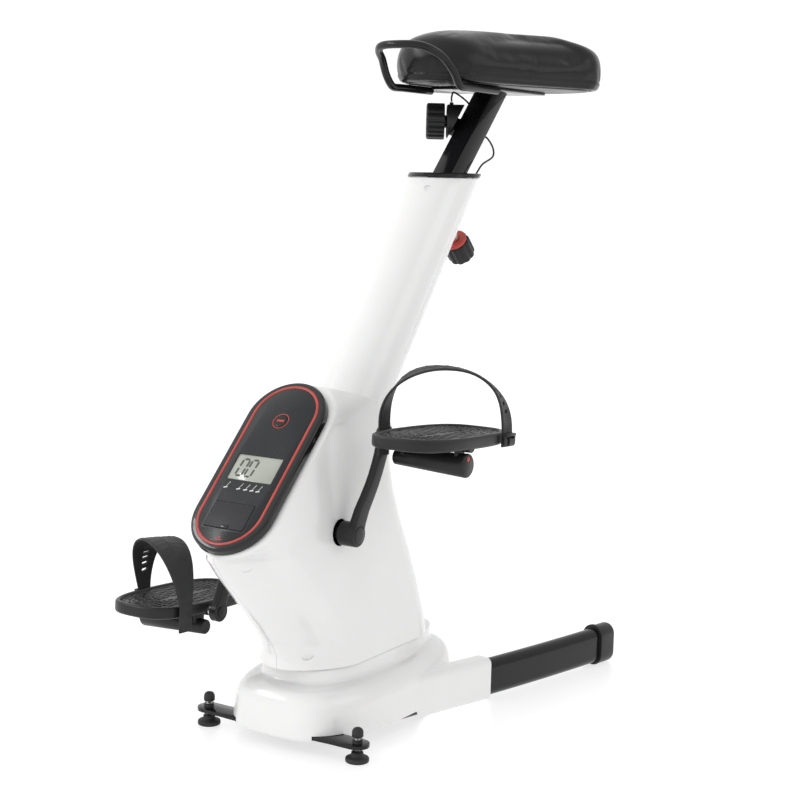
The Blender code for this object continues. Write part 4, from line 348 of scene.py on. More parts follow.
# Base cover: one white gloss moulding over the bend of the horseshoe. It rises in a low skirt and a
# rounded step to the body, and two box sleeves run out along the arms.
COVER_HALF = 0.116
COVER_FRONT = -0.030
COVER_REAR = 0.372
COVER_BOTTOM = 0.017
COVER_TOP = 0.1097
COVER_WALL = 0.003
SLEEVE_REAR = 0.345
SLEEVE_FRONT = 0.140
SLEEVE_WALL = 0.0038
COVER_VOXEL = 0.0022


def rounded(length, width, radius, steps=6):
    points = []
    for sx, sy, start in ((1, -1, -90), (1, 1, 0), (-1, 1, 90), (-1, -1, 180)):
        for i in range(steps + 1):
            angle = math.radians(start + 90.0 * i / steps)
            points.append((sx * (length / 2.0 - radius) + radius * math.cos(angle),
                    sy * (width / 2.0 - radius) + radius * math.sin(angle)))
    return points


def cover_ring(z, grow, count=120):
    half = COVER_HALF - grow
    middle = (COVER_FRONT + COVER_REAR + 0.2 * grow) / 2.0
    reach = (COVER_REAR - COVER_FRONT - 1.8 * grow) / 2.0
    points = []
    for i in range(count):
        angle = 2.0 * math.pi * i / count
        cx, cy = math.cos(angle), math.sin(angle)
        x = half * math.copysign(abs(cx) ** 0.55, cx)
        y = middle + reach * math.copysign(abs(cy) ** 0.80, cy)
        points.append(place(x * (1.0 - 0.14 * max(0.0, (y - middle) / reach)), y, z))
    return points


def modify(piece, kind, **settings):
    """Adds a modifier with its settings and applies it."""
    pick(piece)
    step = piece.modifiers.new(kind.lower(), kind)
    for key, value in settings.items():
        setattr(step, key, value)
    bpy.ops.object.modifier_apply(modifier=step.name)


def even_out(piece, voxel, iterations):
    """Melts a piece's parts into one even mesh and softens its corners."""
    modify(piece, "REMESH", mode="VOXEL", voxel_size=voxel, adaptivity=0.0)
    modify(piece, "SMOOTH", factor=0.5, iterations=iterations)


def join_by(piece, tool, operation="UNION"):
    modify(piece, "BOOLEAN", operation=operation, object=tool, solver="EXACT")
    bpy.data.objects.remove(tool, do_unlink=True)


def cut(piece, tool):
    join_by(piece, tool, operation="DIFFERENCE")


def between(path, first, last):
    return [p for p in path if FEET_LINE_Y + first <= p.y <= FEET_LINE_Y + last]


WHITE = finish("white_gloss_moulding", (0.80, 0.80, 0.795), 0.20,
        shades=(9.0, 3.0, (0.790, 0.790, 0.782), (0.820, 0.820, 0.814)), sheen=(40.0, 4.0, 0.15, 0.23),
        grain=(420.0, 2.0, 0.00002), Coat_Weight=0.25, Coat_Roughness=0.08, Subsurface_Weight=0.04,
        Subsurface_Scale=0.004)
cover_levels = [(COVER_BOTTOM, 0.0030), (COVER_BOTTOM + 0.0015, 0.0008), (COVER_BOTTOM + 0.004, 0.0),
        (0.036, 0.0014), (0.050, 0.0028), (0.060, 0.0042), (0.066, 0.0060), (0.071, 0.0084),
        (0.075, 0.0115), (0.079, 0.0158), (0.082, 0.0210), (0.0845, 0.0275), (0.0860, 0.0335),
        (0.0872, 0.0372), (0.0900, 0.0380), (COVER_TOP, 0.0382)]
base_cover = skin("base_cover_moulded", [cover_ring(z, grow) for z, grow in cover_levels])
for side in (1.0, -1.0):
    fine_arm = through(arm_points(side), 12)
    sleeve_path = [p + Vector((0.0, 0.0, 0.0015)) for p in between(fine_arm, SLEEVE_FRONT, SLEEVE_REAR)]
    sleeve_shape = rounded(TUBE_WIDTH + 2.0 * SLEEVE_WALL, TUBE_HEIGHT + 2.0 * SLEEVE_WALL, 0.010)
    join_by(base_cover, skin("sleeve_blank", along(sleeve_path, sleeve_shape)))
even_out(base_cover, COVER_VOXEL, 7)
under_levels = [(COVER_BOTTOM - 0.02, 0.0), (COVER_BOTTOM + 0.003, 0.0), (0.058, 0.0045), (0.069, 0.0085),
        (0.077, 0.0165), (0.083, 0.0372), (COVER_TOP - 0.004, 0.0384)]
cut(base_cover, skin("cover_under", [cover_ring(z, grow + COVER_WALL, 60) for z, grow in under_levels]))
for side in (1.0, -1.0):
    bore_path = between(through(arm_points(side), 6), 0.110, SLEEVE_REAR + 0.05)
    bore_shape = [(b, a) for a, b in stadium(TUBE_HEIGHT + 0.0008, TUBE_WIDTH + 0.0008, 10)]
    cut(base_cover, skin("arm_bore", along(bore_path, bore_shape)))
for name, spot, size, ends in (("bar_slot", place(0.0, -0.0005, 0.0), (0.300, 0.0366), (0.0210, 0.0270)),
        ("spine_window", place(0.0, 0.0955, 0.0), (0.055, 0.120), (0.080, 0.140))):
    opening = [[spot + Vector((a, b, z)) for a, b in rounded(*size, 0.002)] for z in ends]
    cut(base_cover, skin(name, opening))
hang(smooth(base_cover, 40.0), "frame", "white_plastic", WHITE, "base_cover")


# Body shells: two white gloss mouldings that meet along the bike's middle. The front swells to an
# oval pod that carries the console, and the top is cut off where the mast comes out.
BODY_BOTTOM = 0.110
BODY_WALL = 0.003
SEAM_HALF = 0.00025
BODY_VOXEL = 0.0024
CONSOLE_TILT = math.radians(44.5)
CONSOLE_LENGTH = 0.282
CONSOLE_WIDTH = 0.124
CONSOLE_OUT = Vector((0.0, -math.cos(CONSOLE_TILT), math.sin(CONSOLE_TILT)))
CONSOLE_UP = Vector((0.0, math.sin(CONSOLE_TILT), math.cos(CONSOLE_TILT)))
CONSOLE_BEHIND = -0.0614
CONSOLE_HEIGHT = 0.4071
CONSOLE_SPOT = place(0.0, CONSOLE_BEHIND, CONSOLE_HEIGHT)
POD_BACK = 0.0123
POD_MARGIN = 0.006
MAST_TILT = math.radians(37.0)
MAST_AXIS = Vector((0.0, math.sin(MAST_TILT), math.cos(MAST_TILT)))
MAST_WIDTH = 0.100
MAST_DEPTH = 0.134
MAST_TOP = 0.7925
MAST_TOP_BEHIND = 0.4055
MAST_GAP = 0.0003
JOINT_SPOT = place(0.0, 0.111, 0.4835)
SHOULDER_SPOT = place(0.0, 0.080, 0.4930)
SHOULDER_NORMAL = Vector((0.0, 0.297, 0.955)).normalized()

pod_spot_y = CONSOLE_BEHIND + math.cos(CONSOLE_TILT) * POD_BACK
pod_spot_z = CONSOLE_HEIGHT - math.sin(CONSOLE_TILT) * POD_BACK
pod_half = CONSOLE_LENGTH / 2.0 + POD_MARGIN
pod_radius = CONSOLE_WIDTH / 2.0 + POD_MARGIN
pod_low = pod_spot_z - pod_half * math.cos(CONSOLE_TILT)
pod_top = pod_spot_z + pod_half * math.cos(CONSOLE_TILT)


def pod_front(z):
    return pod_spot_y + (z - pod_spot_z) * math.tan(CONSOLE_TILT)


def read_between(table, z):
    """A value read between the (z, value) pairs of a table."""
    if z <= table[0][0]:
        return table[0][1]
    for (z0, v0), (z1, v1) in zip(table, table[1:]):
        if z <= z1:
            return v0 + (v1 - v0) * (z - z0) / (z1 - z0)
    return table[-1][1]


FRONT_LINE = [(0.100, -0.014), (0.125, -0.0125), (0.145, -0.0226), (0.175, -0.048), (0.205, -0.0776),
        (0.235, -0.107), (0.262, -0.134), (pod_low - 0.006, pod_front(pod_low) + 0.001),
        (pod_low, pod_front(pod_low))]
REAR_LINE = [(0.100, 0.312), (0.14, 0.304), (0.20, 0.283), (0.25, 0.262), (0.30, 0.238), (0.34, 0.222),
        (0.38, 0.212), (0.42, 0.214), (0.46, 0.235), (0.50, 0.262), (0.54, 0.290)]
NOSE_LINE = [(0.100, 0.060), (0.14, 0.050), (0.19, 0.040), (0.25, 0.030), (pod_low - 0.006, 0.020),
        (pod_low, 0.012)]
FRONT_ROUND = [(0.100, 0.075), (0.16, 0.070), (0.25, 0.055), (pod_low, 0.020), (0.31, 0.008), (0.50, 0.008)]
HALF_WIDTHS = [(0.10, 0.079), (0.30, 0.070), (0.44, 0.066), (0.54, 0.059)]
REAR_ROUND = 0.070
FLARE = 0.095


def pod_half_width(z):
    over = abs((z - pod_spot_z) / math.cos(CONSOLE_TILT)) - (pod_half - pod_radius)
    if over <= 0.0:
        return pod_radius
    return 0.0 if over >= pod_radius else math.sqrt(pod_radius ** 2 - over ** 2)


def body_ring(z, steps=64):
    """The body's whole outline at a height, from the front round the left side to the rear and back."""
    if z < pod_low:
        front, nose = read_between(FRONT_LINE, z), read_between(NOSE_LINE, z)
    else:
        front = pod_front(min(z, pod_top))
        nose = 0.030 if z > pod_top else max(0.012, pod_half_width(z))
    rear = read_between(REAR_LINE, z)
    wide = read_between(HALF_WIDTHS, z)
    length = rear - front
    front_round = read_between(FRONT_ROUND, z)
    left = []
    for i in range(1, steps):
        run = (1.0 - math.cos(math.pi * i / steps)) / 2.0 * length
        grow = min(run / FLARE, 1.0)
        grow = grow * grow * (3.0 - 2.0 * grow)
        half = nose + (wide - nose) * max(grow, min(run / 0.05, 1.0) * 0.55)
        if run < front_round:
            half *= math.sqrt(max(0.0, 1.0 - (1.0 - run / front_round) ** 2))
        if length - run < REAR_ROUND:
            half *= math.sqrt(max(0.0, 1.0 - (1.0 - (length - run) / REAR_ROUND) ** 2))
        left.append((half, front + run))
    ring = [place(0.0, front, z)] + [place(x, y, z) for x, y in left]
    return ring + [place(0.0, rear, z)] + [place(-x, y, z) for x, y in reversed(left)]


def slice_off(piece, spot, normal, filled=True):
    """Cuts a piece by a plane and throws away what lies on the normal's side."""
    pick(piece)
    bpy.ops.object.mode_set(mode="EDIT")
    bpy.ops.mesh.select_all(action="SELECT")
    bpy.ops.mesh.bisect(plane_co=spot, plane_no=normal, use_fill=filled, clear_outer=True)
    bpy.ops.object.mode_set(mode="OBJECT")


body_heights = [BODY_BOTTOM - 0.006 + (pod_low - BODY_BOTTOM) * i / 40.0 for i in range(41)]
body_heights += [pod_low - 0.002, pod_low] + [pod_low + 0.03 * (i / 14.0) ** 1.6 for i in range(1, 15)]
body_heights += [pod_low + 0.03 + (pod_top - pod_low - 0.06) * i / 26.0 for i in range(1, 27)]
body_heights += [pod_top - 0.03 * (i / 14.0) ** 1.6 for i in range(13, -1, -1)] + [0.525, 0.545]
body = skin("body_blank", [body_ring(z) for z in body_heights])
even_out(body, BODY_VOXEL, 8)
slice_off(body, SHOULDER_SPOT, SHOULDER_NORMAL)
slice_off(body, JOINT_SPOT, MAST_AXIS)


def mast_middle(z):
    return MAST_TOP_BEHIND + (z - MAST_TOP) * math.tan(MAST_TILT)


def mast_ring(z, grow, count=48):
    """The mast's oval at a height, made larger all round by grow."""
    half_width, half_depth = MAST_WIDTH / 2.0 + grow, MAST_DEPTH / 2.0 + grow
    return [place(x, mast_middle(z) + y * half_depth / half_width, z) for x, y in circle(half_width, count)]


def blank_from(other, name):
    pick(other)
    bpy.ops.object.duplicate()
    made = bpy.context.object
    made.name = name
    return made


def block(name, frame_at, outline, low, high):
    return skin(name, [[frame_at @ Vector((a, b, level)) for a, b in outline] for level in (low, high)])


CRANK_SPOT = Vector((0.0, 0.036, 0.305))
HUB_RADIUS = 0.017
SCREW_WELLS = [((0.0340, -0.1252, 0.2781), (0.66, -0.55, -0.51)),
        ((0.0400, 0.0058, 0.1287), (0.67, -0.69, -0.27))]
WELL_DEPTH = 0.0021
console_at = aimed(CONSOLE_SPOT, CONSOLE_OUT, CONSOLE_UP)
for label, side in SIDES:
    shell = blank_from(body, label + "_shell_moulded")
    slice_off(shell, Vector((side * SEAM_HALF, 0.0, 0.0)), Vector((-side, 0.0, 0.0)), filled=False)
    slice_off(shell, Vector((0.0, 0.0, BODY_BOTTOM)), Vector((0.0, 0.0, -1.0)), filled=False)
    modify(shell, "SOLIDIFY", thickness=BODY_WALL, offset=-1.0)
    cut(shell, skin("mast_hole", [mast_ring(z, MAST_GAP) for z in (0.36, 0.60)]))
    window = block("console_window", console_at,
            stadium(CONSOLE_LENGTH - 0.0157, CONSOLE_WIDTH - 0.0157, 24), -0.045, 0.03)
    cut(shell, window)
    crank_at = aimed(place(*CRANK_SPOT), (1.0, 0.0, 0.0), (0.0, 1.0, 0.0))
    ends = sorted((side * 0.03, side * 0.2))
    cut(shell, block("crank_opening", crank_at, circle(HUB_RADIUS + 0.002, 48), *ends))
    for spot, normal in SCREW_WELLS if side > 0.0 else []:
        well_at = aimed(place(*spot), normal, (1.0, 0.0, 0.0))
        oval = [(a * 1.35, b * 0.75) for a, b in circle(0.0062, 40)]
        cut(shell, block("screw_well", well_at, oval, -WELL_DEPTH, 0.02))
    hang(smooth(shell, 38.0), "frame", "white_plastic", WHITE, label + "_shell")
bpy.data.objects.remove(body, do_unlink=True)


# Mast cover: a white oval tube that leans back, with a pair of long shallow grooves down each side
# and a small round screw well under the collar.
MAST_WALL = 0.003
MAST_FOOT_DEPTH = 0.016
GROOVES = [(0.18, 0.0040), (0.42, 0.0040)]
GROOVE_DEPTH = 0.0008
GROOVE_LOW = 0.535
GROOVE_HIGH = 0.745
GROOVE_RUNOUT = 0.004
GROOVE_EDGE = 0.0012


def mast_wall(z, inset, count=240):
    """The mast's oval at a height, with its grooves pressed in on the left and right sides."""
    half_width, half_depth = MAST_WIDTH / 2.0 - inset, MAST_DEPTH / 2.0 - inset
    fade = min(max(0.0, min(z - GROOVE_LOW, GROOVE_HIGH - z) / GROOVE_RUNOUT), 1.0)
    points = []
    for i in range(count):
        angle = 2.0 * math.pi * i / count
        x, y = half_width * math.cos(angle), half_depth * math.sin(angle)
        pressed = 0.0
        if inset == 0.0:
            for share, half in GROOVES:
                away = abs(math.asin(max(-1.0, min(1.0, y / half_depth))) - share) * half_depth
                pressed = max(pressed, min(1.0, max(0.0, (half - away) / GROOVE_EDGE)))
        x -= math.copysign(GROOVE_DEPTH * pressed * fade, x)
        points.append(place(x, mast_middle(z) + y, z))
    return points


mast_heights = [0.40, 0.47, GROOVE_LOW - GROOVE_RUNOUT, GROOVE_LOW, GROOVE_LOW + GROOVE_RUNOUT, 0.60, 0.68,
        GROOVE_HIGH - GROOVE_RUNOUT, GROOVE_HIGH, GROOVE_HIGH + GROOVE_RUNOUT, 0.78, MAST_TOP - 0.0008,
        MAST_TOP]
mast_draw = [0.0] * (len(mast_heights) - 1) + [0.0008]
mast_rings = [mast_wall(z, draw) for z, draw in zip(mast_heights, mast_draw)]
mast_rings += [mast_wall(z, MAST_WALL) for z in (MAST_TOP, 0.40)]
mast = skin("mast_cover_moulded", mast_rings, round_again=True)
slice_off(mast, JOINT_SPOT - MAST_AXIS * MAST_FOOT_DEPTH, -MAST_AXIS)
pull_at = aimed(up_post(-0.062), -POST_FRONT)
cut(mast, block("pull_opening", pull_at, circle(0.0094, 32), 0.02, 0.12))
screw_at = aimed(place(0.0166, 0.3306, 0.7764), (0.354, -0.747, 0.563))
cut(mast, block("mast_screw_well", screw_at, circle(0.0052, 40), -0.0020, 0.01))
hang(smooth(mast, 38.0), "frame", "white_plastic", WHITE, "mast_cover")


# Mast collar: a flat black plastic plate that closes the top of the mast, with a square opening for
# the post's guide and a small one for the cable.
COLLAR_TOP = 0.800
COLLAR_OVERHANG = 0.0015
collar_levels = [(MAST_TOP + 0.0003, 0.0006), (MAST_TOP + 0.0009, 0.0), (COLLAR_TOP - 0.0022, 0.0),
        (COLLAR_TOP - 0.0010, 0.0005), (COLLAR_TOP - 0.0003, 0.0014), (COLLAR_TOP, 0.0026)]
collar = skin("mast_collar_moulded",
        [mast_ring(z, COLLAR_OVERHANG - draw, 96) for z, draw in collar_levels])
post_at = aimed(POST_AT_COLLAR, POST_AXIS)
cut(collar, block("guide_opening", post_at, rounded(0.0426, 0.0426, 0.003), -0.05, 0.05))
cable_run = aimed(cable_low, cable_high - cable_low)
cut(collar, block("cable_opening", cable_run, circle(0.0027, 16), -0.03, 0.05))
hang(smooth(collar, 38.0), "frame", "black_plastic", BLACK_PAINT, "mast_collar")


# Console: a black gloss housing with rounded edges that stands in the pod, a dark printed film over
# its face, and a thin red line set into a groove near the edge.
RING_LENGTH = 0.266
RING_WIDTH = 0.104
RING_STROKE = 0.0040
RING_TOP = 0.0005
FILM_TOP = 0.0003
PRINT_LEVELS = (FILM_TOP - 0.0001, FILM_TOP + 0.0001)
LCD_UP = -0.0093
LCD_WIDTH = 0.074
LCD_HEIGHT = 0.042
BUTTON_UP = 0.0717
BUTTON_RADIUS = 0.010
DOOR_UP = -0.0868
DOOR_WIDTH = 0.064
DOOR_HEIGHT = 0.040
ABOVE_FACE = 0.01


def edge_levels(low, high, edge, steps):
    """Heights and draws of a wall whose top edge is rounded."""
    levels = [(low, 0.0), (high - edge, 0.0)]
    for i in range(1, steps + 1):
        angle = math.pi / 2.0 * i / steps
        levels.append((high - edge + edge * math.sin(angle), edge * (1.0 - math.cos(angle))))
    return levels


def console_spot_frame(up, side=0.0):
    return aimed(CONSOLE_SPOT + CONSOLE_UP * up + Vector((side, 0.0, 0.0)), CONSOLE_OUT, CONSOLE_UP)


def console_block(name, up, length, width, grow, radius, low):
    """A block through the console's face, wider than length and width by grow."""
    return block(name, console_spot_frame(up), rounded(length + grow, width + grow, radius), low,
            ABOVE_FACE)


BLACK_GLOSS = finish("black_gloss_moulding", (0.006, 0.006, 0.007), 0.12, sheen=(30.0, 4.0, 0.11, 0.20),
        grain=(500.0, 2.0, 0.00002), Coat_Weight=0.45, Coat_Roughness=0.03, Specular_IOR_Level=0.22)
housing_levels = [(-0.018, 0.008), (-0.012, 0.008)] + edge_levels(-0.012, 0.0, 0.0045, 5)
housing = skin("console_housing_moulded",
        raised(console_at, drawn(stadium, CONSOLE_LENGTH, CONSOLE_WIDTH, 28), housing_levels))
cut(housing, block("console_cavity", console_at, stadium(CONSOLE_LENGTH - 0.024, CONSOLE_WIDTH - 0.024, 20),
        -0.03, -0.004))
line_shape = drawn(stadium, RING_LENGTH, RING_WIDTH, 28)
groove_levels = [(0.01, -0.0003), (-0.0011, -0.0003), (-0.0011, 0.0043), (0.01, 0.0043)]
cut(housing, skin("line_groove", raised(console_at, line_shape, groove_levels), round_again=True))
button_outline = circle(BUTTON_RADIUS + 0.0005, 40)
cut(housing, console_block("display_opening", LCD_UP, LCD_HEIGHT, LCD_WIDTH, 0.0008, 0.003, -0.03))
cut(housing, block("button_opening", console_spot_frame(BUTTON_UP), button_outline, -0.03, ABOVE_FACE))
cut(housing, console_block("door_recess", DOOR_UP, DOOR_HEIGHT, DOOR_WIDTH, 0.001, 0.003, -0.0021))
cut(housing, console_block("cell_opening", DOOR_UP, DOOR_HEIGHT, DOOR_WIDTH, -0.008, 0.003, -0.03))
hang(smooth(housing, 38.0), "frame", "black_gloss_plastic", BLACK_GLOSS, "console_housing")

film = skin("console_face_film",
        raised(console_at, drawn(stadium, RING_LENGTH - 0.0094, RING_WIDTH - 0.0094, 28),
        [(-0.0001, 0.0), (FILM_TOP - 0.0001, 0.0), (FILM_TOP, 0.0002)]))
film_hole = circle(BUTTON_RADIUS + 0.0008, 40)
cut(film, console_block("film_display", LCD_UP, LCD_HEIGHT, LCD_WIDTH, -0.0004, 0.002, -0.01))
cut(film, block("film_button", console_spot_frame(BUTTON_UP), film_hole, -0.01, ABOVE_FACE))
cut(film, console_block("film_door", DOOR_UP, DOOR_HEIGHT, DOOR_WIDTH, 0.0016, 0.003, -0.01))
FILM = finish("console_film", (0.014, 0.015, 0.017), 0.24, sheen=(60.0, 4.0, 0.20, 0.30),
        grain=(1800.0, 2.0, 0.00002), Specular_IOR_Level=0.28)
hang(smooth(film), "frame", "black_gloss_plastic", FILM)

line_levels = [(-0.0008, 0.0), (RING_TOP - 0.0003, 0.0), (RING_TOP, 0.0003),
        (RING_TOP, RING_STROKE - 0.0003), (RING_TOP - 0.0003, RING_STROKE), (-0.0008, RING_STROKE)]
red_line = smooth(skin("red_line", raised(console_at, line_shape, line_levels), round_again=True), 60.0)
RED = finish("red_moulding", (0.42, 0.035, 0.025), 0.3,
        shades=(35.0, 3.0, (0.38, 0.028, 0.020), (0.47, 0.045, 0.032)), grain=(1500.0, 2.0, 0.00003))
hang(red_line, "frame", "red_plastic", RED, "red_ring")


# Display: a grey-green liquid crystal window with two large zeros, and small white marks printed
# under it that lead to the five readings.
display = skin("display_window", raised(console_spot_frame(LCD_UP),
        drawn(rounded, LCD_HEIGHT, LCD_WIDTH, 0.003), [(-0.007, 0.0), (-0.0009, 0.0), (-0.0006, 0.0004)]))
GLASS_GREY = finish("display_glass", (0.36, 0.38, 0.33), 0.16,
        shades=(26.0, 2.0, (0.33, 0.35, 0.30), (0.40, 0.42, 0.37)), grain=(900.0, 2.0, 0.00001),
        Coat_Weight=0.4, Coat_Roughness=0.04)
hang(smooth(display), "frame", "lcd_window", GLASS_GREY, "lcd_window")

SEGMENT_WIDTH = 0.0032
DIGIT_HEIGHT = 0.026
DIGIT_WIDTH = 0.0105
DIGIT_SLANT = 0.10


def bar(name, start, end, width, low, high, pointed=True):
    """A thin bar on the console's face between two (side, up) points, with pointed or square ends."""
    run = Vector((end[0] - start[0], end[1] - start[1]))
    length = run.length
    run /= length
    square = Vector((-run.y, run.x))
    tip = width / 2.0 if pointed else 0.0
    outline = [(0.0, 0.0), (tip, width / 2.0), (length - tip, width / 2.0), (length, 0.0),
            (length - tip, -width / 2.0), (tip, -width / 2.0)]
    rings = []
    for level in (low, high):
        ring = []
        for a, b in outline:
            spot = Vector(start) + run * a + square * b
            ring.append(CONSOLE_SPOT + Vector((spot.x, 0.0, 0.0)) + CONSOLE_UP * spot.y
                    + CONSOLE_OUT * level)
        rings.append(ring)
    return skin(name, rings)


def joined(pieces, name):
    clear_selection()
    for piece in pieces:
        piece.select_set(True)
    bpy.context.view_layer.objects.active = pieces[0]
    bpy.ops.object.join()
    pieces[0].name = name
    return pieces[0]


segments = []
for left_edge in (-0.0275, -0.0125):
    low, high = LCD_UP - 0.0135, LCD_UP + 0.0135
    inset = 0.0009

    def corner(side, share):
        return (left_edge + side * DIGIT_WIDTH + DIGIT_SLANT * DIGIT_HEIGHT * share,
                low + (high - low) * share)

    for (s0, t0), (s1, t1) in (((0, 0), (0, 0.5)), ((0, 0.5), (0, 1)), ((1, 0), (1, 0.5)),
            ((1, 0.5), (1, 1)), ((0, 0), (1, 0)), ((0, 1), (1, 1))):
        a, b = Vector(corner(s0, t0)), Vector(corner(s1, t1))
        trim = (b - a).normalized() * inset
        segments.append(bar("digit_bar", a + trim, b - trim, SEGMENT_WIDTH, -0.0007, -0.00045))
digits = joined(segments, "display_digits")
INK = finish("display_ink", (0.05, 0.055, 0.05), 0.35,
        shades=(300.0, 3.0, (0.045, 0.05, 0.045), (0.07, 0.075, 0.065)))
hang(digits, "frame", "lcd_window", INK)

marks = []
for side in (-0.0300, -0.0085, 0.0030, 0.0135, 0.0235):
    foot = -0.0425
    marks.append(
            bar("mark_line", (side, foot), (side + 0.0034, foot + 0.0078), 0.0007, *PRINT_LEVELS, False))
    marks.append(bar("mark_word", (side - 0.0032, foot - 0.0024), (side + 0.0024, foot - 0.0008),
            0.0018, *PRINT_LEVELS, False))
face_marks = joined(marks, "display_marks")
PRINT_WHITE = finish("white_print", (0.75, 0.75, 0.74), 0.4,
        shades=(400.0, 3.0, (0.62, 0.62, 0.62), (0.80, 0.80, 0.79)))
hang(face_marks, "frame", "white_plastic", PRINT_WHITE)


# Mode button: a round black key that presses in, with a red bar on its face and a thin red ring on
# the film round it.
button_at = console_spot_frame(BUTTON_UP)
AXIS_RADIUS = 1e-9


def lathe(name, frame_at, profile, count=48, hollow=False):
    """A shape turned about the frame's third axis from (radius, height) points. Unless it is hollow,
    flat ends run in to the axis."""
    if not hollow:
        profile = [(AXIS_RADIUS, profile[0][1])] + profile + [(AXIS_RADIUS, profile[-1][1])]
    rings = [[frame_at @ Vector((a, b, height)) for a, b in circle(radius, count)]
            for radius, height in profile]
    return skin(name, rings, round_again=hollow)


button = lathe("mode_button_moulded", button_at,
        [(BUTTON_RADIUS, -0.0048), (BUTTON_RADIUS, 0.0002), (BUTTON_RADIUS - 0.0003, 0.0008),
        (BUTTON_RADIUS - 0.001, 0.0011), (BUTTON_RADIUS - 0.0022, 0.0012)])
hang(smooth(button), "mode_key", "black_gloss_plastic", FILM, "mode_button")
key_ring_levels = [(BUTTON_RADIUS + 0.0024, FILM_TOP - 0.0001), (BUTTON_RADIUS + 0.0024, FILM_TOP + 0.0002),
        (BUTTON_RADIUS + 0.0011, FILM_TOP + 0.0002), (BUTTON_RADIUS + 0.0011, FILM_TOP - 0.0001)]
key_ring = lathe("mode_button_ring", button_at, key_ring_levels, 64, hollow=True)
key_bar = bar("mode_button_bar", (-0.0058, BUTTON_UP), (0.0058, BUTTON_UP), 0.0034, 0.0011, 0.00135, False)
for piece, body in ((key_ring, "frame"), (key_bar, "mode_key")):
    hang(smooth(piece), body, "red_plastic", RED)


# Battery door: a flat black lid in a recess, held by a small tongue at its lower edge; below it is a
# small red arrow that points to the tongue.
door_rings = raised(console_spot_frame(DOOR_UP), drawn(rounded, DOOR_HEIGHT, DOOR_WIDTH, 0.003),
        edge_levels(-0.0018, 0.0012, 0.0008, 3))
door = skin("battery_door_moulded", door_rings)
LID = satin_plastic("console_lid_plastic", (0.022, 0.022, 0.025), 0.40)
hang(smooth(door), "battery_lid", "black_plastic", LID, "battery_door")
tongue_at = console_spot_frame(DOOR_UP - DOOR_HEIGHT / 2.0 + 0.0030, 0.002)
tongue = skin("battery_door_tongue",
        raised(tongue_at, drawn(rounded, 0.0052, 0.012, 0.0015), edge_levels(0.0008, 0.0021, 0.0006, 3)))
hang(smooth(tongue), "battery_lid", "black_plastic", BLACK_GLOSS)
arrow_up = -0.1215
arrow = skin("lock_arrow",
        [[CONSOLE_SPOT + CONSOLE_UP * (arrow_up + b) + Vector((0.002 + a, 0.0, 0.0)) + CONSOLE_OUT * c
        for a, b in ((-0.0022, 0.0), (0.0, 0.0036), (0.0022, 0.0))] for c in PRINT_LEVELS])
dash = bar("lock_dash", (-0.0035, arrow_up - 0.0022), (0.0075, arrow_up - 0.0022), 0.0014, *PRINT_LEVELS,
        False)
for piece in (arrow, dash):
    hang(piece, "frame", "red_plastic", RED)


# Cranks: a cast arm each side, painted black, that steps outwards from a round hub on the axle to the
# pedal's eye; a domed plastic cap closes the hub, and a steel ring shows between hub and body.
CRANK_OUT = Vector((0.0, math.cos(math.radians(76.0)), math.sin(math.radians(76.0))))
CRANK_REACH = 0.140
HUB_FACE = 0.1005
EYE_RADIUS = 0.0145
EYE_FACE = 0.1225
SPINDLE_RADIUS = 0.006
ARM_THICKNESS = 0.012
arm_stations = [(0.000, 0.0945, 0.030), (0.12, 0.0955, 0.0278), (0.25, 0.0985, 0.026),
        (0.38, 0.1037, 0.0243), (0.50, 0.1080, 0.023), (0.61, 0.1111, 0.0222), (0.72, 0.1134, 0.022),
        (0.80, 0.1147, 0.0223), (0.88, 0.1156, 0.023), (0.94, 0.1161, 0.0236), (1.000, 0.1162, 0.024)]
CRANK_PAINT = finish("crank_paint", (0.012, 0.012, 0.013), 0.30, sheen=(45.0, 4.0, 0.24, 0.38),
        grain=(420.0, 3.0, 0.00008), Specular_IOR_Level=0.3)
STEEL = finish("zinc_plated_steel", (0.62, 0.62, 0.60), 0.26, 1.0,
        shades=(60.0, 3.0, (0.56, 0.56, 0.53), (0.68, 0.68, 0.66)),
        sheen=(90.0, 5.0, 0.20, 0.36, (1.0, 1.0, 6.0)), grain=(700.0, 2.0, 0.00002))
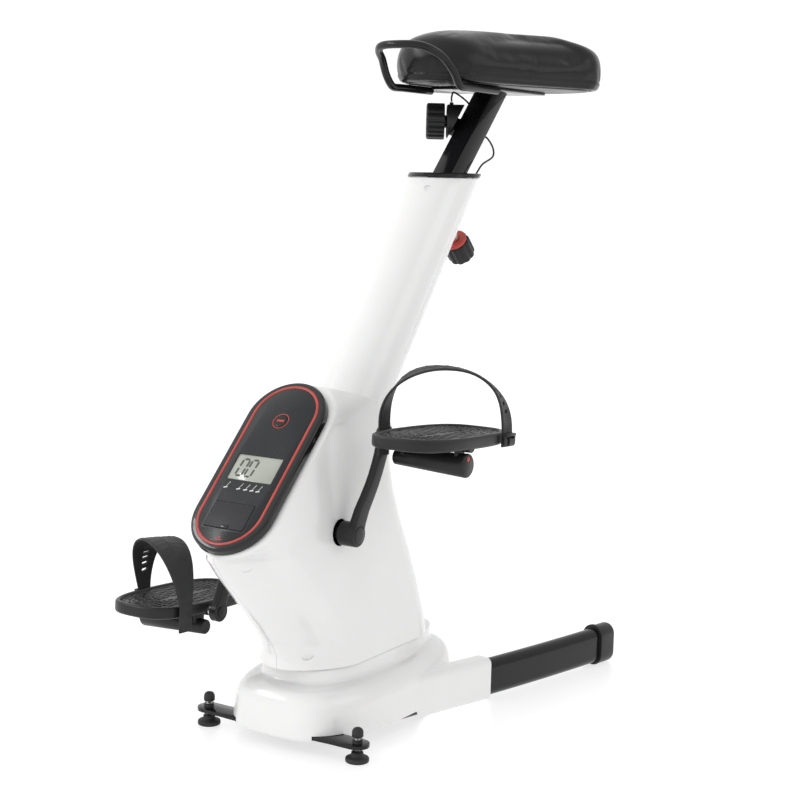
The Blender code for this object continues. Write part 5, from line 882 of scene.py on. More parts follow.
for label, side in SIDES:
    reach = CRANK_OUT * side
    across = Vector((0.0, -reach.z, reach.y))
    centre = place(*CRANK_SPOT)
    arm_rings = []
    for share, out, width in arm_stations:
        at = centre + reach * CRANK_REACH * share + Vector((side * out, 0.0, 0.0))
        section = []
        for a, b in rounded(ARM_THICKNESS, width, 0.0042, 5):
            hollow = 0.0011 * max(0.0, 1.0 - (b / (width * 0.30)) ** 2) if a > ARM_THICKNESS * 0.4 else 0.0
            section.append(at + across * b + Vector((side * (a - hollow), 0.0, 0.0)))
        arm_rings.append(section)
    arm = skin(label + "_crank_cast", arm_rings)
    hub_at = aimed(centre, Vector((side, 0.0, 0.0)), (0.0, 0.0, 1.0))
    eye_at = aimed(centre + reach * CRANK_REACH, Vector((side, 0.0, 0.0)), (0.0, 0.0, 1.0))
    hub_profile = [(HUB_RADIUS - 0.0012, 0.0735), (HUB_RADIUS, 0.0747), (HUB_RADIUS, HUB_FACE - 0.0022),
            (HUB_RADIUS - 0.0007, HUB_FACE - 0.0007), (HUB_RADIUS - 0.0022, HUB_FACE)]
    join_by(arm, lathe("hub_blank", hub_at, hub_profile, 64))
    join_by(arm, lathe("eye_blank", eye_at, [(EYE_RADIUS - 0.001, 0.1100), (EYE_RADIUS, 0.1110),
            (EYE_RADIUS, EYE_FACE - 0.001), (EYE_RADIUS - 0.001, EYE_FACE)], 56))
    cut(arm, lathe("axle_hole", hub_at, [(0.0088, 0.06), (0.0088, 0.0949)], 40))
    cut(arm, lathe("cap_recess", hub_at, [(0.0125, HUB_FACE - 0.0015), (0.0125, 0.12)], 48))
    cut(arm, lathe("spindle_hole", eye_at,
            [(SPINDLE_RADIUS + 0.0003, 0.09), (SPINDLE_RADIUS + 0.0003, 0.13)], 32))
    hang(smooth(arm, 40.0), "crank_set", "black_paint", CRANK_PAINT, label + "_crank")
    cap = lathe(label + "_hub_cap", hub_at,
            [(0.0121, HUB_FACE - 0.0012), (0.0121, HUB_FACE), (0.0117, HUB_FACE + 0.0006),
            (0.0105, HUB_FACE + 0.0011), (0.007, HUB_FACE + 0.0015), (0.0, HUB_FACE + 0.0017)], 48)
    hang(smooth(cap), "crank_set", "black_plastic", BLACK_PLASTIC)
    spindle = lathe(label + "_spindle_turned", eye_at, [(SPINDLE_RADIUS - 0.0006, 0.1100),
            (SPINDLE_RADIUS, 0.1106), (SPINDLE_RADIUS, 0.2389), (SPINDLE_RADIUS - 0.0006, 0.2395)], 32)
    flats = [[eye_at @ Vector((a, b, level)) for a, b in circle(radius, 6)]
            for level, radius in ((0.1228, 0.0079), (0.1232, 0.0085), (0.1281, 0.0085), (0.1285, 0.0079))]
    join_by(spindle, skin("spindle_flats", flats))
    hang(smooth(spindle, 30.0), "crank_set", "zinc_steel", STEEL, label + "_spindle")
    end_plug = lathe(label + "_spindle_plug", eye_at,
            [(0.0060, 0.1080), (0.0074, 0.1085), (0.0078, 0.1092), (0.0078, 0.1099)], 40)
    hang(smooth(end_plug), "crank_set", "black_plastic", BLACK_PLASTIC)


# Pedals: a wide moulded tray with a raised rim and closed rings of tread, a round boss for the
# spindle and, hung below it, a round tapered weight that keeps the pedal level.
PEDAL_LONG = 0.232
PEDAL_WIDE = 0.124
PEDAL_MIDDLE = 0.1935
PEDAL_AHEAD = 0.018
PEDAL_TOP = 0.0125
PEDAL_RIM = 0.017
PEDAL_TOE_UP = math.radians(3.0)
BARREL_RADIUS = 0.0165
BARREL_SMALL = 0.0105
BARREL_LONG = 0.114
BARREL_DROP = 0.0265
REFLECTOR_UP = 0.009


def oblong(length, width, count=144):
    """A long outline between an ellipse and a rectangle, long along the second axis."""
    points = []
    for i in range(count):
        angle = 2.0 * math.pi * i / count
        c, s = math.cos(angle), math.sin(angle)
        points.append((-width / 2.0 * math.copysign(abs(s) ** 0.60, s),
                length / 2.0 * math.copysign(abs(c) ** 0.72, c)))
    return points


def pedal_frame(side):
    eye = CRANK_SPOT + CRANK_OUT * side * CRANK_REACH
    return Matrix.Translation(place(side * PEDAL_MIDDLE, eye.y, eye.z)) @ Matrix.Rotation(-PEDAL_TOE_UP, 4,
            "X")


def pedal_rings(at, levels):
    shifted = at @ Matrix.Translation((0.0, PEDAL_AHEAD, 0.0))
    return [[shifted @ Vector((a, b, height))
            for a, b in oblong(PEDAL_LONG - 2.0 * draw, PEDAL_WIDE - 2.0 * draw)]
            for height, draw in levels]


PEDAL_PLASTIC = satin_plastic("pedal_plastic", (0.017, 0.017, 0.018), 0.36)
TREAD_TOP = PEDAL_TOP - 0.0022
TREAD_FLOOR = PEDAL_TOP - 0.0035
for label, side in SIDES:
    at = pedal_frame(side)
    body = label + "_pedal_set"
    low = PEDAL_TOP - PEDAL_RIM
    rings = pedal_rings(at, [(TREAD_FLOOR - 0.003, 0.0585), (TREAD_FLOOR - 0.003, 0.0066),
            (low + 0.0035, 0.0066), (low, 0.0058), (low, 0.0030), (low + 0.0012, 0.0009),
            (low + 0.0035, 0.0), (PEDAL_TOP - 0.0030, 0.0), (PEDAL_TOP - 0.0012, 0.0007),
            (PEDAL_TOP, 0.0026), (PEDAL_TOP, 0.0052), (PEDAL_TOP - 0.0010, 0.0064), (TREAD_FLOOR, 0.0070)])
    draw = 0.0086
    row = 0
    while draw < 0.052:
        rings += pedal_rings(at, [(TREAD_FLOOR, draw)])
        for up, step in ((TREAD_TOP - 0.0004, 0.0007), (TREAD_TOP, 0.0013), (TREAD_TOP, 0.0030),
                (TREAD_TOP - 0.0004, 0.0036)):
            bars, floor = pedal_rings(at, [(up, draw + step), (TREAD_FLOOR, draw + step)])
            rings.append(
                    [b if (i + 4 * (row % 2)) % 8 < 6 else f for i, (b, f) in enumerate(zip(bars, floor))])
        rings += pedal_rings(at, [(TREAD_FLOOR, draw + 0.0043)])
        draw += 0.0062
        row += 1
    rings += pedal_rings(at, [(TREAD_FLOOR, 0.0585)])
    tray = skin(label + "_pedal_moulded", rings)
    boss_at = at @ Matrix.Rotation(math.radians(90.0 * side), 4, "Y")
    half = PEDAL_WIDE / 2.0
    join_by(tray, lathe("spindle_boss", boss_at, [(0.0081, 0.001 - half), (0.0086, 0.0015 - half),
            (0.0086, half - 0.0015), (0.0081, half - 0.001)], 40))
    for end in (-1.0, 1.0):
        hanger_at = at @ Matrix.Translation((end * (half - 0.020), 0.0, 0.0))
        join_by(tray,
                block("hanger", hanger_at, rounded(0.006, 0.020, 0.0015), -BARREL_DROP - 0.001, -0.005))
    barrel_at = at @ Matrix.Translation((0.0, 0.0, -BARREL_DROP)) @ Matrix.Rotation(
            math.radians(90.0 * side), 4, "Y")
    reach = BARREL_LONG / 2.0
    barrel_profile = [(BARREL_SMALL - 0.0010, -reach), (BARREL_SMALL, 0.0012 - reach),
            (BARREL_RADIUS, reach - 0.0030), (BARREL_RADIUS - 0.0006, reach - 0.0012),
            (BARREL_RADIUS - 0.0022, reach)]
    join_by(tray, lathe("weight_barrel", barrel_at, barrel_profile, 56))
    cut(tray, lathe("spindle_bore", boss_at,
            [(SPINDLE_RADIUS + 0.0006, -half - 0.01), (SPINDLE_RADIUS + 0.0006, half - 0.010)], 32))
    reflector_at = barrel_at @ Matrix.Translation((-side * REFLECTOR_UP, 0.0, 0.0))
    cut(tray,
            lathe("reflector_pocket", reflector_at, [(0.0043, reach - 0.0033), (0.0043, reach + 0.01)], 24))
    hang(smooth(tray, 40.0), body, "black_plastic", PEDAL_PLASTIC, label + "_pedal")
    reflector = lathe(label + "_pedal_reflector", reflector_at, [(0.0039, reach - 0.0030),
            (0.0040, reach - 0.0009), (0.0037, reach - 0.0004), (0.0030, reach), (0.0, reach + 0.0002)], 32)
    hang(smooth(reflector), body, "red_plastic", RED, label + "_reflector")


# Pedal straps: a broad black rubber band over each foot, narrow where it runs down outside the rim,
# with a leaf pattern on its crown and six slots near the outer foot, held there by a buckle.
STRAP_THICK = 0.0035
STRAP_CROWN = 0.086
STRAP_FOOT_WIDTH = 0.026
STRAP_TOP_WIDTH = 0.054
STRAP_EDGE = 0.55
VEINS_FROM = 0.16
VEINS_TO = 0.80
STRAP_FEET = {1.0: (0.022, 0.097), -1.0: (0.053, 0.002)}


def pedal_half_width(ahead):
    reach = min(abs(ahead - PEDAL_AHEAD) / (PEDAL_LONG / 2.0), 1.0) ** (1.0 / 0.72)
    return PEDAL_WIDE / 2.0 * math.sqrt(1.0 - reach * reach) ** 0.60


def strap_path(side, steps=72):
    """Middle points of the band, with its swell and its two across directions at each."""
    clear = STRAP_THICK / 2.0 + 0.0006
    ahead, back = STRAP_FEET[side]
    inner = Vector((-side * (pedal_half_width(STRAP_FOOT_WIDTH / 2.0 - ahead) + clear), -ahead, PEDAL_TOP))
    outer = Vector((side * (pedal_half_width(back - STRAP_FOOT_WIDTH / 2.0) + clear), back, PEDAL_TOP))
    chord = outer - inner
    diagonal = Vector((-chord.y, chord.x, 0.0)).normalized()
    if diagonal.y < 0.0:
        diagonal = -diagonal
    spots = [(inner - Vector((0.0, 0.0, drop)), 0.0) for drop in (0.036, 0.030, 0.023, 0.016, 0.010, 0.005)]
    for i in range(steps + 1):
        angle = math.pi * i / steps
        share = (1.0 - math.copysign(abs(math.cos(angle)) ** 0.92, math.cos(angle))) / 2.0
        rise = max(math.sin(angle), 0.0) ** 0.82
        spots.append((inner + chord * share + Vector((0.0, -0.012 * rise, STRAP_CROWN * rise)), i / steps))
    spots += [(outer - Vector((0.0, 0.0, drop)), 1.0) for drop in (0.005, 0.010, 0.015, 0.020)]
    return spots, diagonal


RUBBER = finish("black_rubber_band", (0.026, 0.026, 0.027), 0.5, sheen=(70.0, 4.0, 0.46, 0.64),
        grain=(1100.0, 2.0, 0.00006), Specular_IOR_Level=0.3)


def strap_shape(name, side, at, thick, ridge, columns):
    """The whole band: wider over its crown, with leaf veins that stand out by the ridge."""
    spots, diagonal = strap_path(side)
    rings = []
    for k, (point, share) in enumerate(spots):
        swell = math.sin(math.pi * share)
        run = (spots[min(k + 1, len(spots) - 1)][0] - spots[max(k - 1, 0)][0]).normalized()
        if swell < 0.01:
            run = Vector((0.0, 0.0, math.copysign(1.0, run.z)))
        wide = Vector((0.0, 1.0, 0.0)).lerp(diagonal, min(swell, 1.0)).normalized()
        wide = (wide - run * wide.dot(run)).normalized()
        out = wide.cross(run).normalized()
        if out.dot(point - Vector((0.0, point.y, PEDAL_TOP))) < 0.0:
            out = -out
        half = (STRAP_FOOT_WIDTH + (STRAP_TOP_WIDTH - STRAP_FOOT_WIDTH) * max(swell, 0.0) ** 0.9) / 2.0
        ring = []
        for i in range(columns + 1):
            u = 2.0 * i / columns - 1.0
            height = thick / 2.0 * (1.0 if abs(u) < 1.0 else STRAP_EDGE)
            if VEINS_FROM < share < VEINS_TO:
                fade = min((share - VEINS_FROM) / 0.10, (VEINS_TO - share) / 0.10, 1.0)
                vein = abs(((share * 60.0 + abs(u) * 3.2) % 3.0) - 1.5) / 1.5
                height += ridge * fade * max(0.0,
                        1.0 - (vein / 0.42) ** 2) * (1.0 if 0.10 < abs(u) < 0.86 else 0.0)
                height += ridge * fade * (1.0 if abs(u) < 0.08 else 0.0)
            ring.append(at @ (point + wide * half * u + out * height))
        for i in reversed(range(columns + 1)):
            u = 2.0 * i / columns - 1.0
            edge = thick / 2.0 * (1.0 if abs(u) < 1.0 else STRAP_EDGE)
            ring.append(at @ (point + wide * half * u - out * edge))
        rings.append(ring)
    return skin(name, rings)


def strap_spot(side, share):
    """The band's middle point at a share of its arch, with its across and outward directions."""
    spots, diagonal = strap_path(side)
    k = 6 + round(share * (len(spots) - 11))
    run = (spots[k + 1][0] - spots[k - 1][0]).normalized()
    wide = Vector((0.0, 1.0, 0.0)).lerp(diagonal, math.sin(math.pi * share)).normalized()
    wide = (wide - run * wide.dot(run)).normalized()
    return spots[k][0], run, wide


for label, side in SIDES:
    at = pedal_frame(side)
    strap = strap_shape(label + "_strap_band", side, at, STRAP_THICK, 0.0007, 28)
    for share in (0.700, 0.743, 0.786, 0.829, 0.872, 0.915):
        spot, run, wide = strap_spot(side, share)
        slot_at = at @ aimed(spot, run.cross(wide), run)
        cut(strap, block("strap_slot", slot_at, rounded(0.0050, 0.0105, 0.0012, 3), -0.01, 0.01))
    hang(smooth(strap, 50.0), label + "_pedal_set", "black_rubber", RUBBER, label + "_strap")


# Strap buckles: a small black plastic frame clipped to the pedal's outer edge, with a bar that the
# band runs behind and a hook whose tooth catches one of its slots.
for label, side in SIDES:
    at = pedal_frame(side)
    back = STRAP_FEET[side][1]
    foot = Vector((side * (pedal_half_width(back - STRAP_FOOT_WIDTH / 2.0) + STRAP_THICK + 0.0009), back,
            PEDAL_TOP - 0.010))
    buckle_at = at @ aimed(foot, Vector((side, 0.0, 0.0)), (0.0, 0.0, 1.0))
    buckle = skin(label + "_buckle_moulded", raised(buckle_at, drawn(rounded, 0.018, 0.032, 0.004),
            [(0.0, 0.0006), (0.0006, 0.0), (0.0030, 0.0), (0.0036, 0.0006)]))
    cut(buckle, block("buckle_window", buckle_at @ Matrix.Translation((0.0035, 0.0, 0.0)),
            rounded(0.0045, 0.022, 0.001, 3), -0.01, 0.01))
    bar_at = buckle_at @ Matrix.Translation((0.0068, 0.0, 0.0036)) @ Matrix.Rotation(math.radians(90.0), 4,
            "X")
    join_by(buckle, lathe("buckle_bar", bar_at,
            [(0.0018, -0.0135), (0.0021, -0.0130), (0.0021, 0.0130), (0.0018, 0.0135)], 20))
    tooth = skin("buckle_hook", [[buckle_at @ Vector((z, b, h))
            for b, h in ((-0.0045, low), (0.0045, low), (0.0045, high), (-0.0045, high))]
            for z, low, high in ((-0.0088, 0.0028, 0.0040), (-0.0060, 0.0028, 0.0054),
            (-0.0020, 0.0030, 0.0058), (0.0008, 0.0036, 0.0054), (0.0022, 0.0034, 0.0046))])
    join_by(buckle, tooth)
    hang(smooth(buckle, 40.0), label + "_pedal_set", "black_plastic", PEDAL_PLASTIC, label + "_buckle")


# Seat post: a square steel tube with rounded corners, painted gloss black, with a row of round holes
# in its rear face for the pull pin. It takes the CAD solid with its edges softened.
def dressed(node, name, bevel, body, slot, material):
    """A copy of a CAD node with merged points and rounded edges that takes the node's place."""
    source = bpy.data.objects[node]
    copy = source.copy()
    copy.data = source.data.copy()
    copy.name = name
    bpy.context.collection.objects.link(copy)
    copy.parent = None
    copy.matrix_world = source.matrix_world.copy()
    pick(copy)
    bpy.ops.object.transform_apply(location=True, rotation=True, scale=True)
    bpy.ops.object.mode_set(mode="EDIT")
    bpy.ops.mesh.select_all(action="SELECT")
    bpy.ops.mesh.remove_doubles(threshold=0.00001)
    bpy.ops.object.mode_set(mode="OBJECT")
    copy.data.materials.clear()
    modify(copy, "BEVEL", width=bevel, segments=2, limit_method="ANGLE", angle_limit=math.radians(30.0))
    hang(smooth(copy, 30.0), body, slot, material, node)


dressed("seat_post", "seat_post_tube", 0.0004, "seat_set", "black_paint", BLACK_PAINT)


# Seat: a thick cushion of foam under black leatherette, narrow at the nose and broad at the tail.
# The cover is sewn to a border strip low on its side, and a plastic board closes it below.
SEAT_LONG = 0.354
SEAT_NOSE = 0.120
SEAT_TAIL = 0.334
SEAT_FRONT = 0.331
SEAT_LOW = 0.9345
CUSHION_VOXEL = 0.0045
LARGEST_MOVE = 0.006
SHRINK = 0.003


def seat_outline(z, inset, count=96):
    length = SEAT_LONG - 2.0 * inset
    half_count = count // 2
    side = []
    for i in range(half_count + 1):
        t = (1.0 - math.cos(math.pi * i / half_count)) / 2.0
        run = t * length
        half = SEAT_NOSE / 2.0 + (SEAT_TAIL - SEAT_NOSE) / 2.0 * min(t / 0.74, 1.0) ** 1.12 - inset
        if run < 0.045:
            half *= max(0.0, 1.0 - (1.0 - run / 0.045) ** 2.4) ** (1.0 / 2.4)
        if length - run < 0.095:
            half *= max(0.0, 1.0 - (1.0 - (length - run) / 0.095) ** 2.6) ** (1.0 / 2.6)
        side.append((half, SEAT_FRONT + inset + run))
    points = [place(0.0, side[0][1], z)] + [place(h, y, z) for h, y in side[1:-1]]
    return points + [place(0.0, side[-1][1], z)] + [place(-h, y, z) for h, y in reversed(side[1:-1])]


LEATHER = finish("black_leatherette", (0.005, 0.005, 0.005), 0.30,
        shades=(14.0, 3.0, (0.004, 0.004, 0.004), (0.007, 0.007, 0.007)), sheen=(26.0, 4.0, 0.25, 0.37),
        Coat_Weight=0.2, Coat_Roughness=0.18, Specular_IOR_Level=0.2)
leather_nodes, leather_links = LEATHER.node_tree.nodes, LEATHER.node_tree.links
leather_cells = leather_nodes.new("ShaderNodeTexVoronoi")
leather_cells.inputs["Scale"].default_value = 620.0
leather_links.new(leather_nodes.new("ShaderNodeTexCoord").outputs["Object"], leather_cells.inputs["Vector"])
relief(LEATHER, leather_cells.outputs["Distance"], 0.00012)
cushion_levels = [(0.0, 0.0060), (0.002, 0.0030), (0.007, 0.0010), (0.014, 0.0004), (0.024, 0.0),
        (0.036, 0.0002), (0.046, 0.0020), (0.054, 0.0050), (0.060, 0.0105), (0.065, 0.0180),
        (0.069, 0.0290), (0.0712, 0.0440), (0.0718, 0.052)]
cushion = skin("seat_cushion_padded",
        [seat_outline(SEAT_LOW + 0.001 + up * 1.06, inset + SHRINK) for up, inset in cushion_levels])
even_out(cushion, CUSHION_VOXEL, 4)
rest = [v.co.copy() for v in cushion.data.vertices]
bottom = cushion.vertex_groups.new(name="board_side")
held = [v.index for v in cushion.data.vertices if v.co.z < SEAT_LOW + 0.008]
bottom.add(held, 1.0, "REPLACE")
pick(cushion)
bpy.ops.object.modifier_add(type="CLOTH")
cloth = cushion.modifiers[-1]
for key, value in dict(quality=6, mass=0.3, tension_stiffness=18.0, compression_stiffness=18.0,
        shear_stiffness=8.0, bending_stiffness=1.2, use_pressure=True, uniform_pressure_force=4.0,
        vertex_group_mass="board_side").items():
    setattr(cloth.settings, key, value)
cloth.settings.effector_weights.gravity = 0.0
cloth.collision_settings.use_collision = False
for frame_number in range(1, 21):
    bpy.context.scene.frame_set(frame_number)
bpy.ops.object.modifier_apply(modifier=cloth.name)
bpy.context.scene.frame_set(1)
for v, before in zip(cushion.data.vertices, rest):
    move = v.co - before
    if move.length > LARGEST_MOVE:
        v.co = before + move * (LARGEST_MOVE / move.length)
    v.co.z = max(v.co.z, SEAT_LOW + 0.0003)
cushion.vertex_groups.clear()
modify(cushion, "SMOOTH", factor=0.4, iterations=2)
modify(cushion, "SUBSURF", levels=1)


def press_seam(piece, level, depth, width):
    """Presses a sewn line into the sides of the cushion at a height."""
    middle = place(0.0, SEAT_FRONT + SEAT_LONG * 0.5, 0.0)
    for v in piece.data.vertices:
        near = abs(v.co.z - level) / width
        if near < 1.0:
            out = Vector((v.co.x - middle.x, v.co.y - middle.y, 0.0)).normalized()
            v.co -= out * depth * (1.0 - near) ** 1.5


press_seam(cushion, SEAT_LOW + 0.0150, 0.0012, 0.0035)
press_seam(cushion, SEAT_LOW + 0.0065, 0.0009, 0.0030)
board_recess = skin("board_recess", [seat_outline(SEAT_LOW + up, 0.0142) for up in (-0.02, 0.0102)])
cut(cushion, board_recess)
hang(smooth(cushion, 60.0), "seat_set", "black_leather", LEATHER, "seat_cushion")
board_levels = [(0.9343, 0.0185), (0.9348, 0.0172), (0.9360, 0.0165), (0.9441, 0.0155)]
board = skin("seat_board_moulded", [seat_outline(z, inset) for z, inset in board_levels])
hang(smooth(board), "seat_set", "black_plastic", BLACK_PLASTIC, "seat_board")
dressed("seat_bracket", "seat_bracket_plate", 0.0005, "seat_set", "black_paint", BLACK_PAINT)


# Seat handle: one bent steel tube, painted gloss black. It runs forward under the cushion on both
# sides, rises past the nose and closes in a loop in front of it.
HANDLE_RADIUS = 0.006
HANDLE_LEVEL = 0.9279
HANDLE_TOP = 0.984
handle_side = [(0.060, 0.459, HANDLE_LEVEL), (0.060, 0.406, HANDLE_LEVEL), (0.060, 0.371, HANDLE_LEVEL),
        (0.060, 0.350, HANDLE_LEVEL), (0.060, 0.339, HANDLE_LEVEL + 0.005),
        (0.060, 0.326, HANDLE_LEVEL + 0.019), (0.054, 0.306, HANDLE_TOP - 0.018),
        (0.046, 0.284, HANDLE_TOP - 0.007), (0.030, 0.268, HANDLE_TOP - 0.001)]
handle_knots = [place(*p) for p in handle_side] + [place(0.0, 0.262, HANDLE_TOP)]
handle_knots += [place(-x, y, z) for x, y, z in reversed(handle_side)]
handle = skin("seat_handle_tube", along(through(handle_knots, 10), circle(HANDLE_RADIUS, 24)))
hang(smooth(handle, 60.0), "seat_set", "black_paint", BLACK_PAINT, "seat_handle")


# Tension control: a round black housing on the post's front corner, cut to lie along it, and a
# fluted knob on its face. A gland on top holds the end of the cable.
back_normal = Vector((-0.757645, -0.473428, 0.449267))
tension_at = aimed(TENSION_ROOT, TENSION_AXIS, (0.0, 0.0, 1.0))
tension_radius = TENSION_DIAMETER / 2.0
housing_case = lathe("tension_housing_moulded", tension_at, [(tension_radius, -0.05),
        (tension_radius, HOUSING_LENGTH - 0.0030), (tension_radius - 0.0005, HOUSING_LENGTH - 0.0014),
        (tension_radius - 0.0015, HOUSING_LENGTH - 0.0004), (tension_radius - 0.0030, HOUSING_LENGTH)], 72)
slice_off(housing_case, TENSION_ROOT, -back_normal)
join_by(housing_case, lathe("gland", Matrix.Translation(gland_spot),
        [(0.0032, -0.002), (0.0032, 0.0022), (0.0026, 0.0033), (0.0, 0.0035)], 28))
hang(smooth(housing_case, 38.0), "seat_set", "black_plastic", BLACK_PLASTIC, "tension_housing")


def knob(name, frame_at, radius, depth, flutes, low, high, edge_low, edge_high, dish):
    """A round grip with hollows pressed into its side and a shallow dish in its face."""
    count = flutes * 12
    rings = []
    levels = [(low + edge_low * (1.0 - math.cos(a)), edge_low * (1.0 - math.sin(a)))
            for a in (0.0, 0.4, 0.8, 1.2, math.pi / 2.0)]
    levels += [(high - edge_high * (1.0 - math.sin(a)), edge_high * (1.0 - math.cos(a)))
            for a in (0.0, 0.3, 0.6, 0.9, 1.2, math.pi / 2.0)]
    for level, draw in levels:
        fade = 1.0 if draw < edge_high * 0.3 else max(0.0, 1.0 - draw / edge_high)
        ring = []
        for i in range(count):
            wave = (1.0 - math.cos(2.0 * math.pi * i / 12)) / 2.0
            reach = radius - draw - depth * fade * wave ** 2
            angle = 2.0 * math.pi * i / count
            ring.append(frame_at @ Vector((reach * math.cos(angle), reach * math.sin(angle), level)))
        rings.append(ring)
    for share, sink in ((0.86, 0.0), (0.78, 0.15), (0.60, 0.7), (0.35, 0.95), (0.05, 1.0)):
        inner = (radius - edge_high) * share
        rings.append([frame_at @ Vector((a, b, high - dish * sink)) for a, b in circle(inner, count)])
    return skin(name, rings)


tension_grip = knob("tension_knob_moulded", tension_at, 0.0285, 0.0016, 14, 0.018, 0.047, 0.0015, 0.004,
        0.0012)
join_by(tension_grip,
        lathe("knob_neck", tension_at, [(0.010, HOUSING_LENGTH + 0.0003), (0.010, 0.020)], 40))
hang(smooth(tension_grip, 38.0), "tension_dial", "black_plastic", BLACK_PLASTIC, "tension_knob")
dressed("tension_bracket", "tension_bracket_wedge", 0.0004, "seat_set", "black_paint", BLACK_PAINT)


# Pull pin: a steel barrel through the back of the mast, and on it a round fluted black knob with a
# red collar that is pulled out to free the post.
barrel_profile = [(0.0044, 0.0241), (0.0085, 0.0241), (0.0090, 0.0246), (0.0090, 0.0834), (0.0084, 0.0840),
        (0.0044, 0.0840)]
barrel = lathe("pull_barrel_turned", pull_at, barrel_profile, hollow=True)
hang(smooth(barrel), "frame", "zinc_steel", STEEL, "pull_barrel")
pull_collar = lathe("pull_ring_moulded", pull_at, [(0.0043, 0.0843), (0.0180, 0.0843), (0.0190, 0.0853),
        (0.0190, 0.0893), (0.0185, 0.0900), (0.0043, 0.0900)], 64, hollow=True)
hang(smooth(pull_collar), "pull_set", "red_plastic", RED, "pull_ring")
pull_grip = knob("pull_knob_moulded", pull_at, 0.022, 0.0022, 10, 0.0903, 0.1243, 0.003, 0.005, 0.0010)
cut(pull_grip, lathe("pin_bore", pull_at, [(0.0043, 0.08), (0.0043, 0.1023)], 32))
hang(smooth(pull_grip, 38.0), "pull_set", "black_plastic", BLACK_PLASTIC, "pull_knob")


# Foot bar: a flat steel bar across the front under the cover, painted black, with a weld nut at each
# end for a levelling foot: a rubber pad on a zinc stud with a domed rubber cap.
dressed("foot_bar", "foot_bar_plate", 0.0005, "frame", "black_paint", BLACK_PAINT)
STUD_RADIUS = 0.004
PAD_RADIUS = 0.0165
CAP_RADIUS = 0.008
CAP_LOW = 0.0353
FOOT_OUT = 0.129
for label, side in SIDES:
    foot_at = Matrix.Translation(place(side * FOOT_OUT, 0.0, 0.0))
    pad = lathe(label + "_foot_pad_moulded", foot_at,
            [(0.0120, 0.0012), (0.0130, 0.0), (PAD_RADIUS - 0.0012, 0.0), (PAD_RADIUS - 0.0003, 0.0006),
            (PAD_RADIUS, 0.0018), (PAD_RADIUS, 0.0048), (PAD_RADIUS - 0.0008, 0.0060), (0.0120, 0.0072),
            (0.0100, 0.0084), (0.0088, 0.0105), (0.0083, 0.0135), (0.0078, 0.0140)], 56)
    hang(smooth(pad, 50.0), label + "_foot", "black_rubber", RUBBER, label + "_foot_pad")
    turns = 14
    stud_profile = [(STUD_RADIUS - 0.0006, 0.0143)]
    for i in range(turns):
        low = 0.0147 + 0.0202 * i / turns
        stud_profile += [(STUD_RADIUS - 0.0005, low), (STUD_RADIUS, low + 0.0202 / turns * 0.5)]
    stud_profile.append((STUD_RADIUS - 0.0006, 0.0350))
    stud = lathe(label + "_foot_stud_threaded", foot_at, stud_profile, 32)
    hang(smooth(stud, 25.0), label + "_foot", "zinc_steel", STEEL, label + "_foot_stud")
    domed = [(CAP_RADIUS * math.cos(a) ** 0.7, CAP_LOW + 0.0055 + 0.0075 * math.sin(a))
            for a in [math.pi / 2.0 * i / 10 for i in range(10)]]
    cap = lathe(label + "_foot_cap_moulded", foot_at, [(CAP_RADIUS - 0.0005, CAP_LOW),
            (CAP_RADIUS, CAP_LOW + 0.0005)] + domed + [(0.0, CAP_LOW + 0.0130)], 40)
    hang(smooth(cap, 50.0), label + "_foot", "black_rubber", RUBBER, label + "_foot_cap")


# Inside pieces: the painted spine and guide tube, the plastic post guide, bearings, axles, pulleys,
# belt, flywheel, brake, circuit board and cells keep their CAD solids and get their own finishes.
def finish_node(name, material):
    for slot in bpy.data.objects[name].material_slots:
        slot.material = material


IRON = finish("cast_iron_finish", (0.15, 0.15, 0.15), 0.5, 1.0,
        shades=(50.0, 3.0, (0.12, 0.12, 0.12), (0.19, 0.19, 0.185)), sheen=(180.0, 5.0, 0.42, 0.60),
        grain=(500.0, 4.0, 0.0001))
BOARD = finish("circuit_board_lacquer", (0.02, 0.17, 0.06), 0.4,
        shades=(200.0, 3.0, (0.015, 0.14, 0.05), (0.03, 0.20, 0.08)))
for name in ("receiver_tube", "frame_spine"):
    finish_node(name, BLACK_PAINT)
for name in ("post_sleeve", "drive_pulley", "speed_sensor"):
    finish_node(name, BLACK_PLASTIC)
for name in ("bearing_cartridge", "crank_axle", "flywheel_axle", "brake_arm", "brake_magnet",
        "battery_cells", "pull_pin"):
    finish_node(name, STEEL)
finish_node("drive_belt", RUBBER)
finish_node("flywheel", IRON)
finish_node("circuit_board", BOARD)


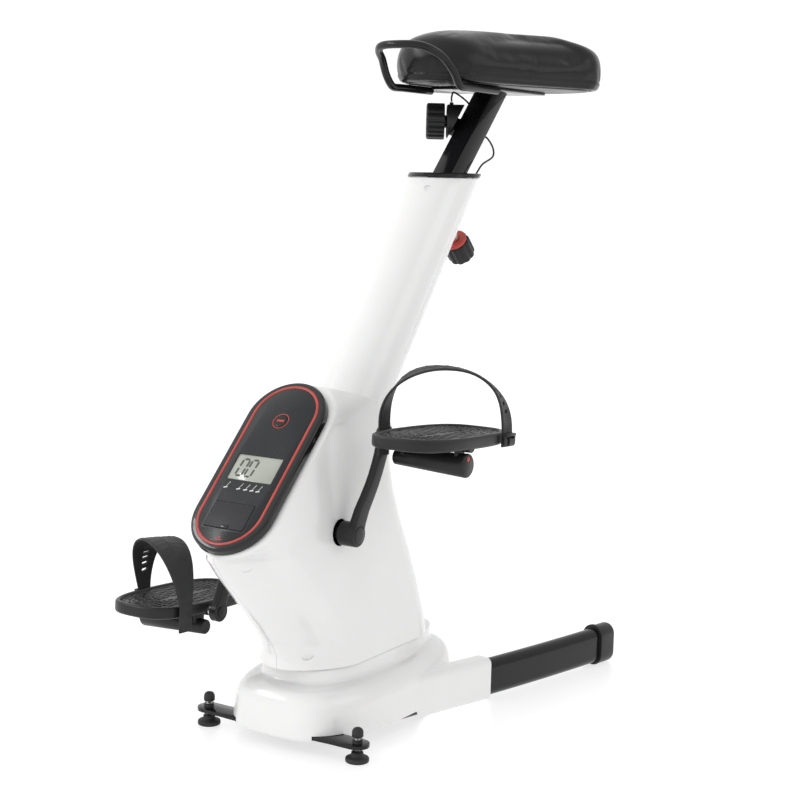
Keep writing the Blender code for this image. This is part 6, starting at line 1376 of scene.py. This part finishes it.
# Studio: a plain pale floor that throws back part of the light it gets, an even sky that is a little
# brighter to the camera's left, and two soft boxes.
clear_selection()
bpy.ops.mesh.primitive_plane_add(size=30.0, location=(0.0, 0.0, -0.0002))
floor = bpy.context.object
floor.name = "studio_floor"
floor.data.materials.append(finish("studio_floor", (0.34, 0.34, 0.34), 0.30, Specular_IOR_Level=0.35,
        Emission_Color=(1.0, 1.0, 1.0, 1.0), Emission_Strength=0.70))
world = bpy.context.scene.world or bpy.data.worlds.new("studio")
bpy.context.scene.world = world
world.use_nodes = True
sky, sky_links = world.node_tree.nodes, world.node_tree.links
background = sky["Background"]
turned = sky.new("ShaderNodeTexCoord")
lengthwise = sky.new("ShaderNodeVectorMath")
lengthwise.operation = "DOT_PRODUCT"
lengthwise.inputs[1].default_value = (-math.cos(CAMERA_TURN), -math.sin(CAMERA_TURN), 0.15)
sky_links.new(turned.outputs["Generated"], lengthwise.inputs[0])
fade = sky.new("ShaderNodeMapRange")
fade.inputs["From Min"].default_value = -1.0
fade.inputs["From Max"].default_value = 1.0
fade.inputs["To Min"].default_value = 0.70
fade.inputs["To Max"].default_value = 1.22
sky_links.new(lengthwise.outputs["Value"], fade.inputs["Value"])
seen = sky.new("ShaderNodeLightPath")
chosen = sky.new("ShaderNodeMix")
sky_links.new(seen.outputs["Is Camera Ray"], chosen.inputs["Factor"])
sky_links.new(fade.outputs["Result"], chosen.inputs["A"])
chosen.inputs["B"].default_value = 1.05
sky_links.new(chosen.outputs["Result"], background.inputs["Strength"])
background.inputs["Color"].default_value = (1.0, 1.0, 1.0, 1.0)
bpy.context.scene.view_settings.view_transform = "Standard"


def soft_box(name, spot, size, power):
    data = bpy.data.lights.new(name, "AREA")
    data.shape = "RECTANGLE"
    data.size, data.size_y = size
    data.energy = power
    lamp = bpy.data.objects.new(name, data)
    bpy.context.scene.collection.objects.link(lamp)
    lamp.matrix_world = aimed(spot, Vector(spot) - Vector((0.0, 0.0, 0.5)), (1.0, 0.3, 0.0))


soft_box("left_box", (-1.8, -1.6, 2.0), (0.35, 1.5), 13.0)
soft_box("right_box", (2.2, 0.4, 1.6), (1.0, 1.8), 5.0)
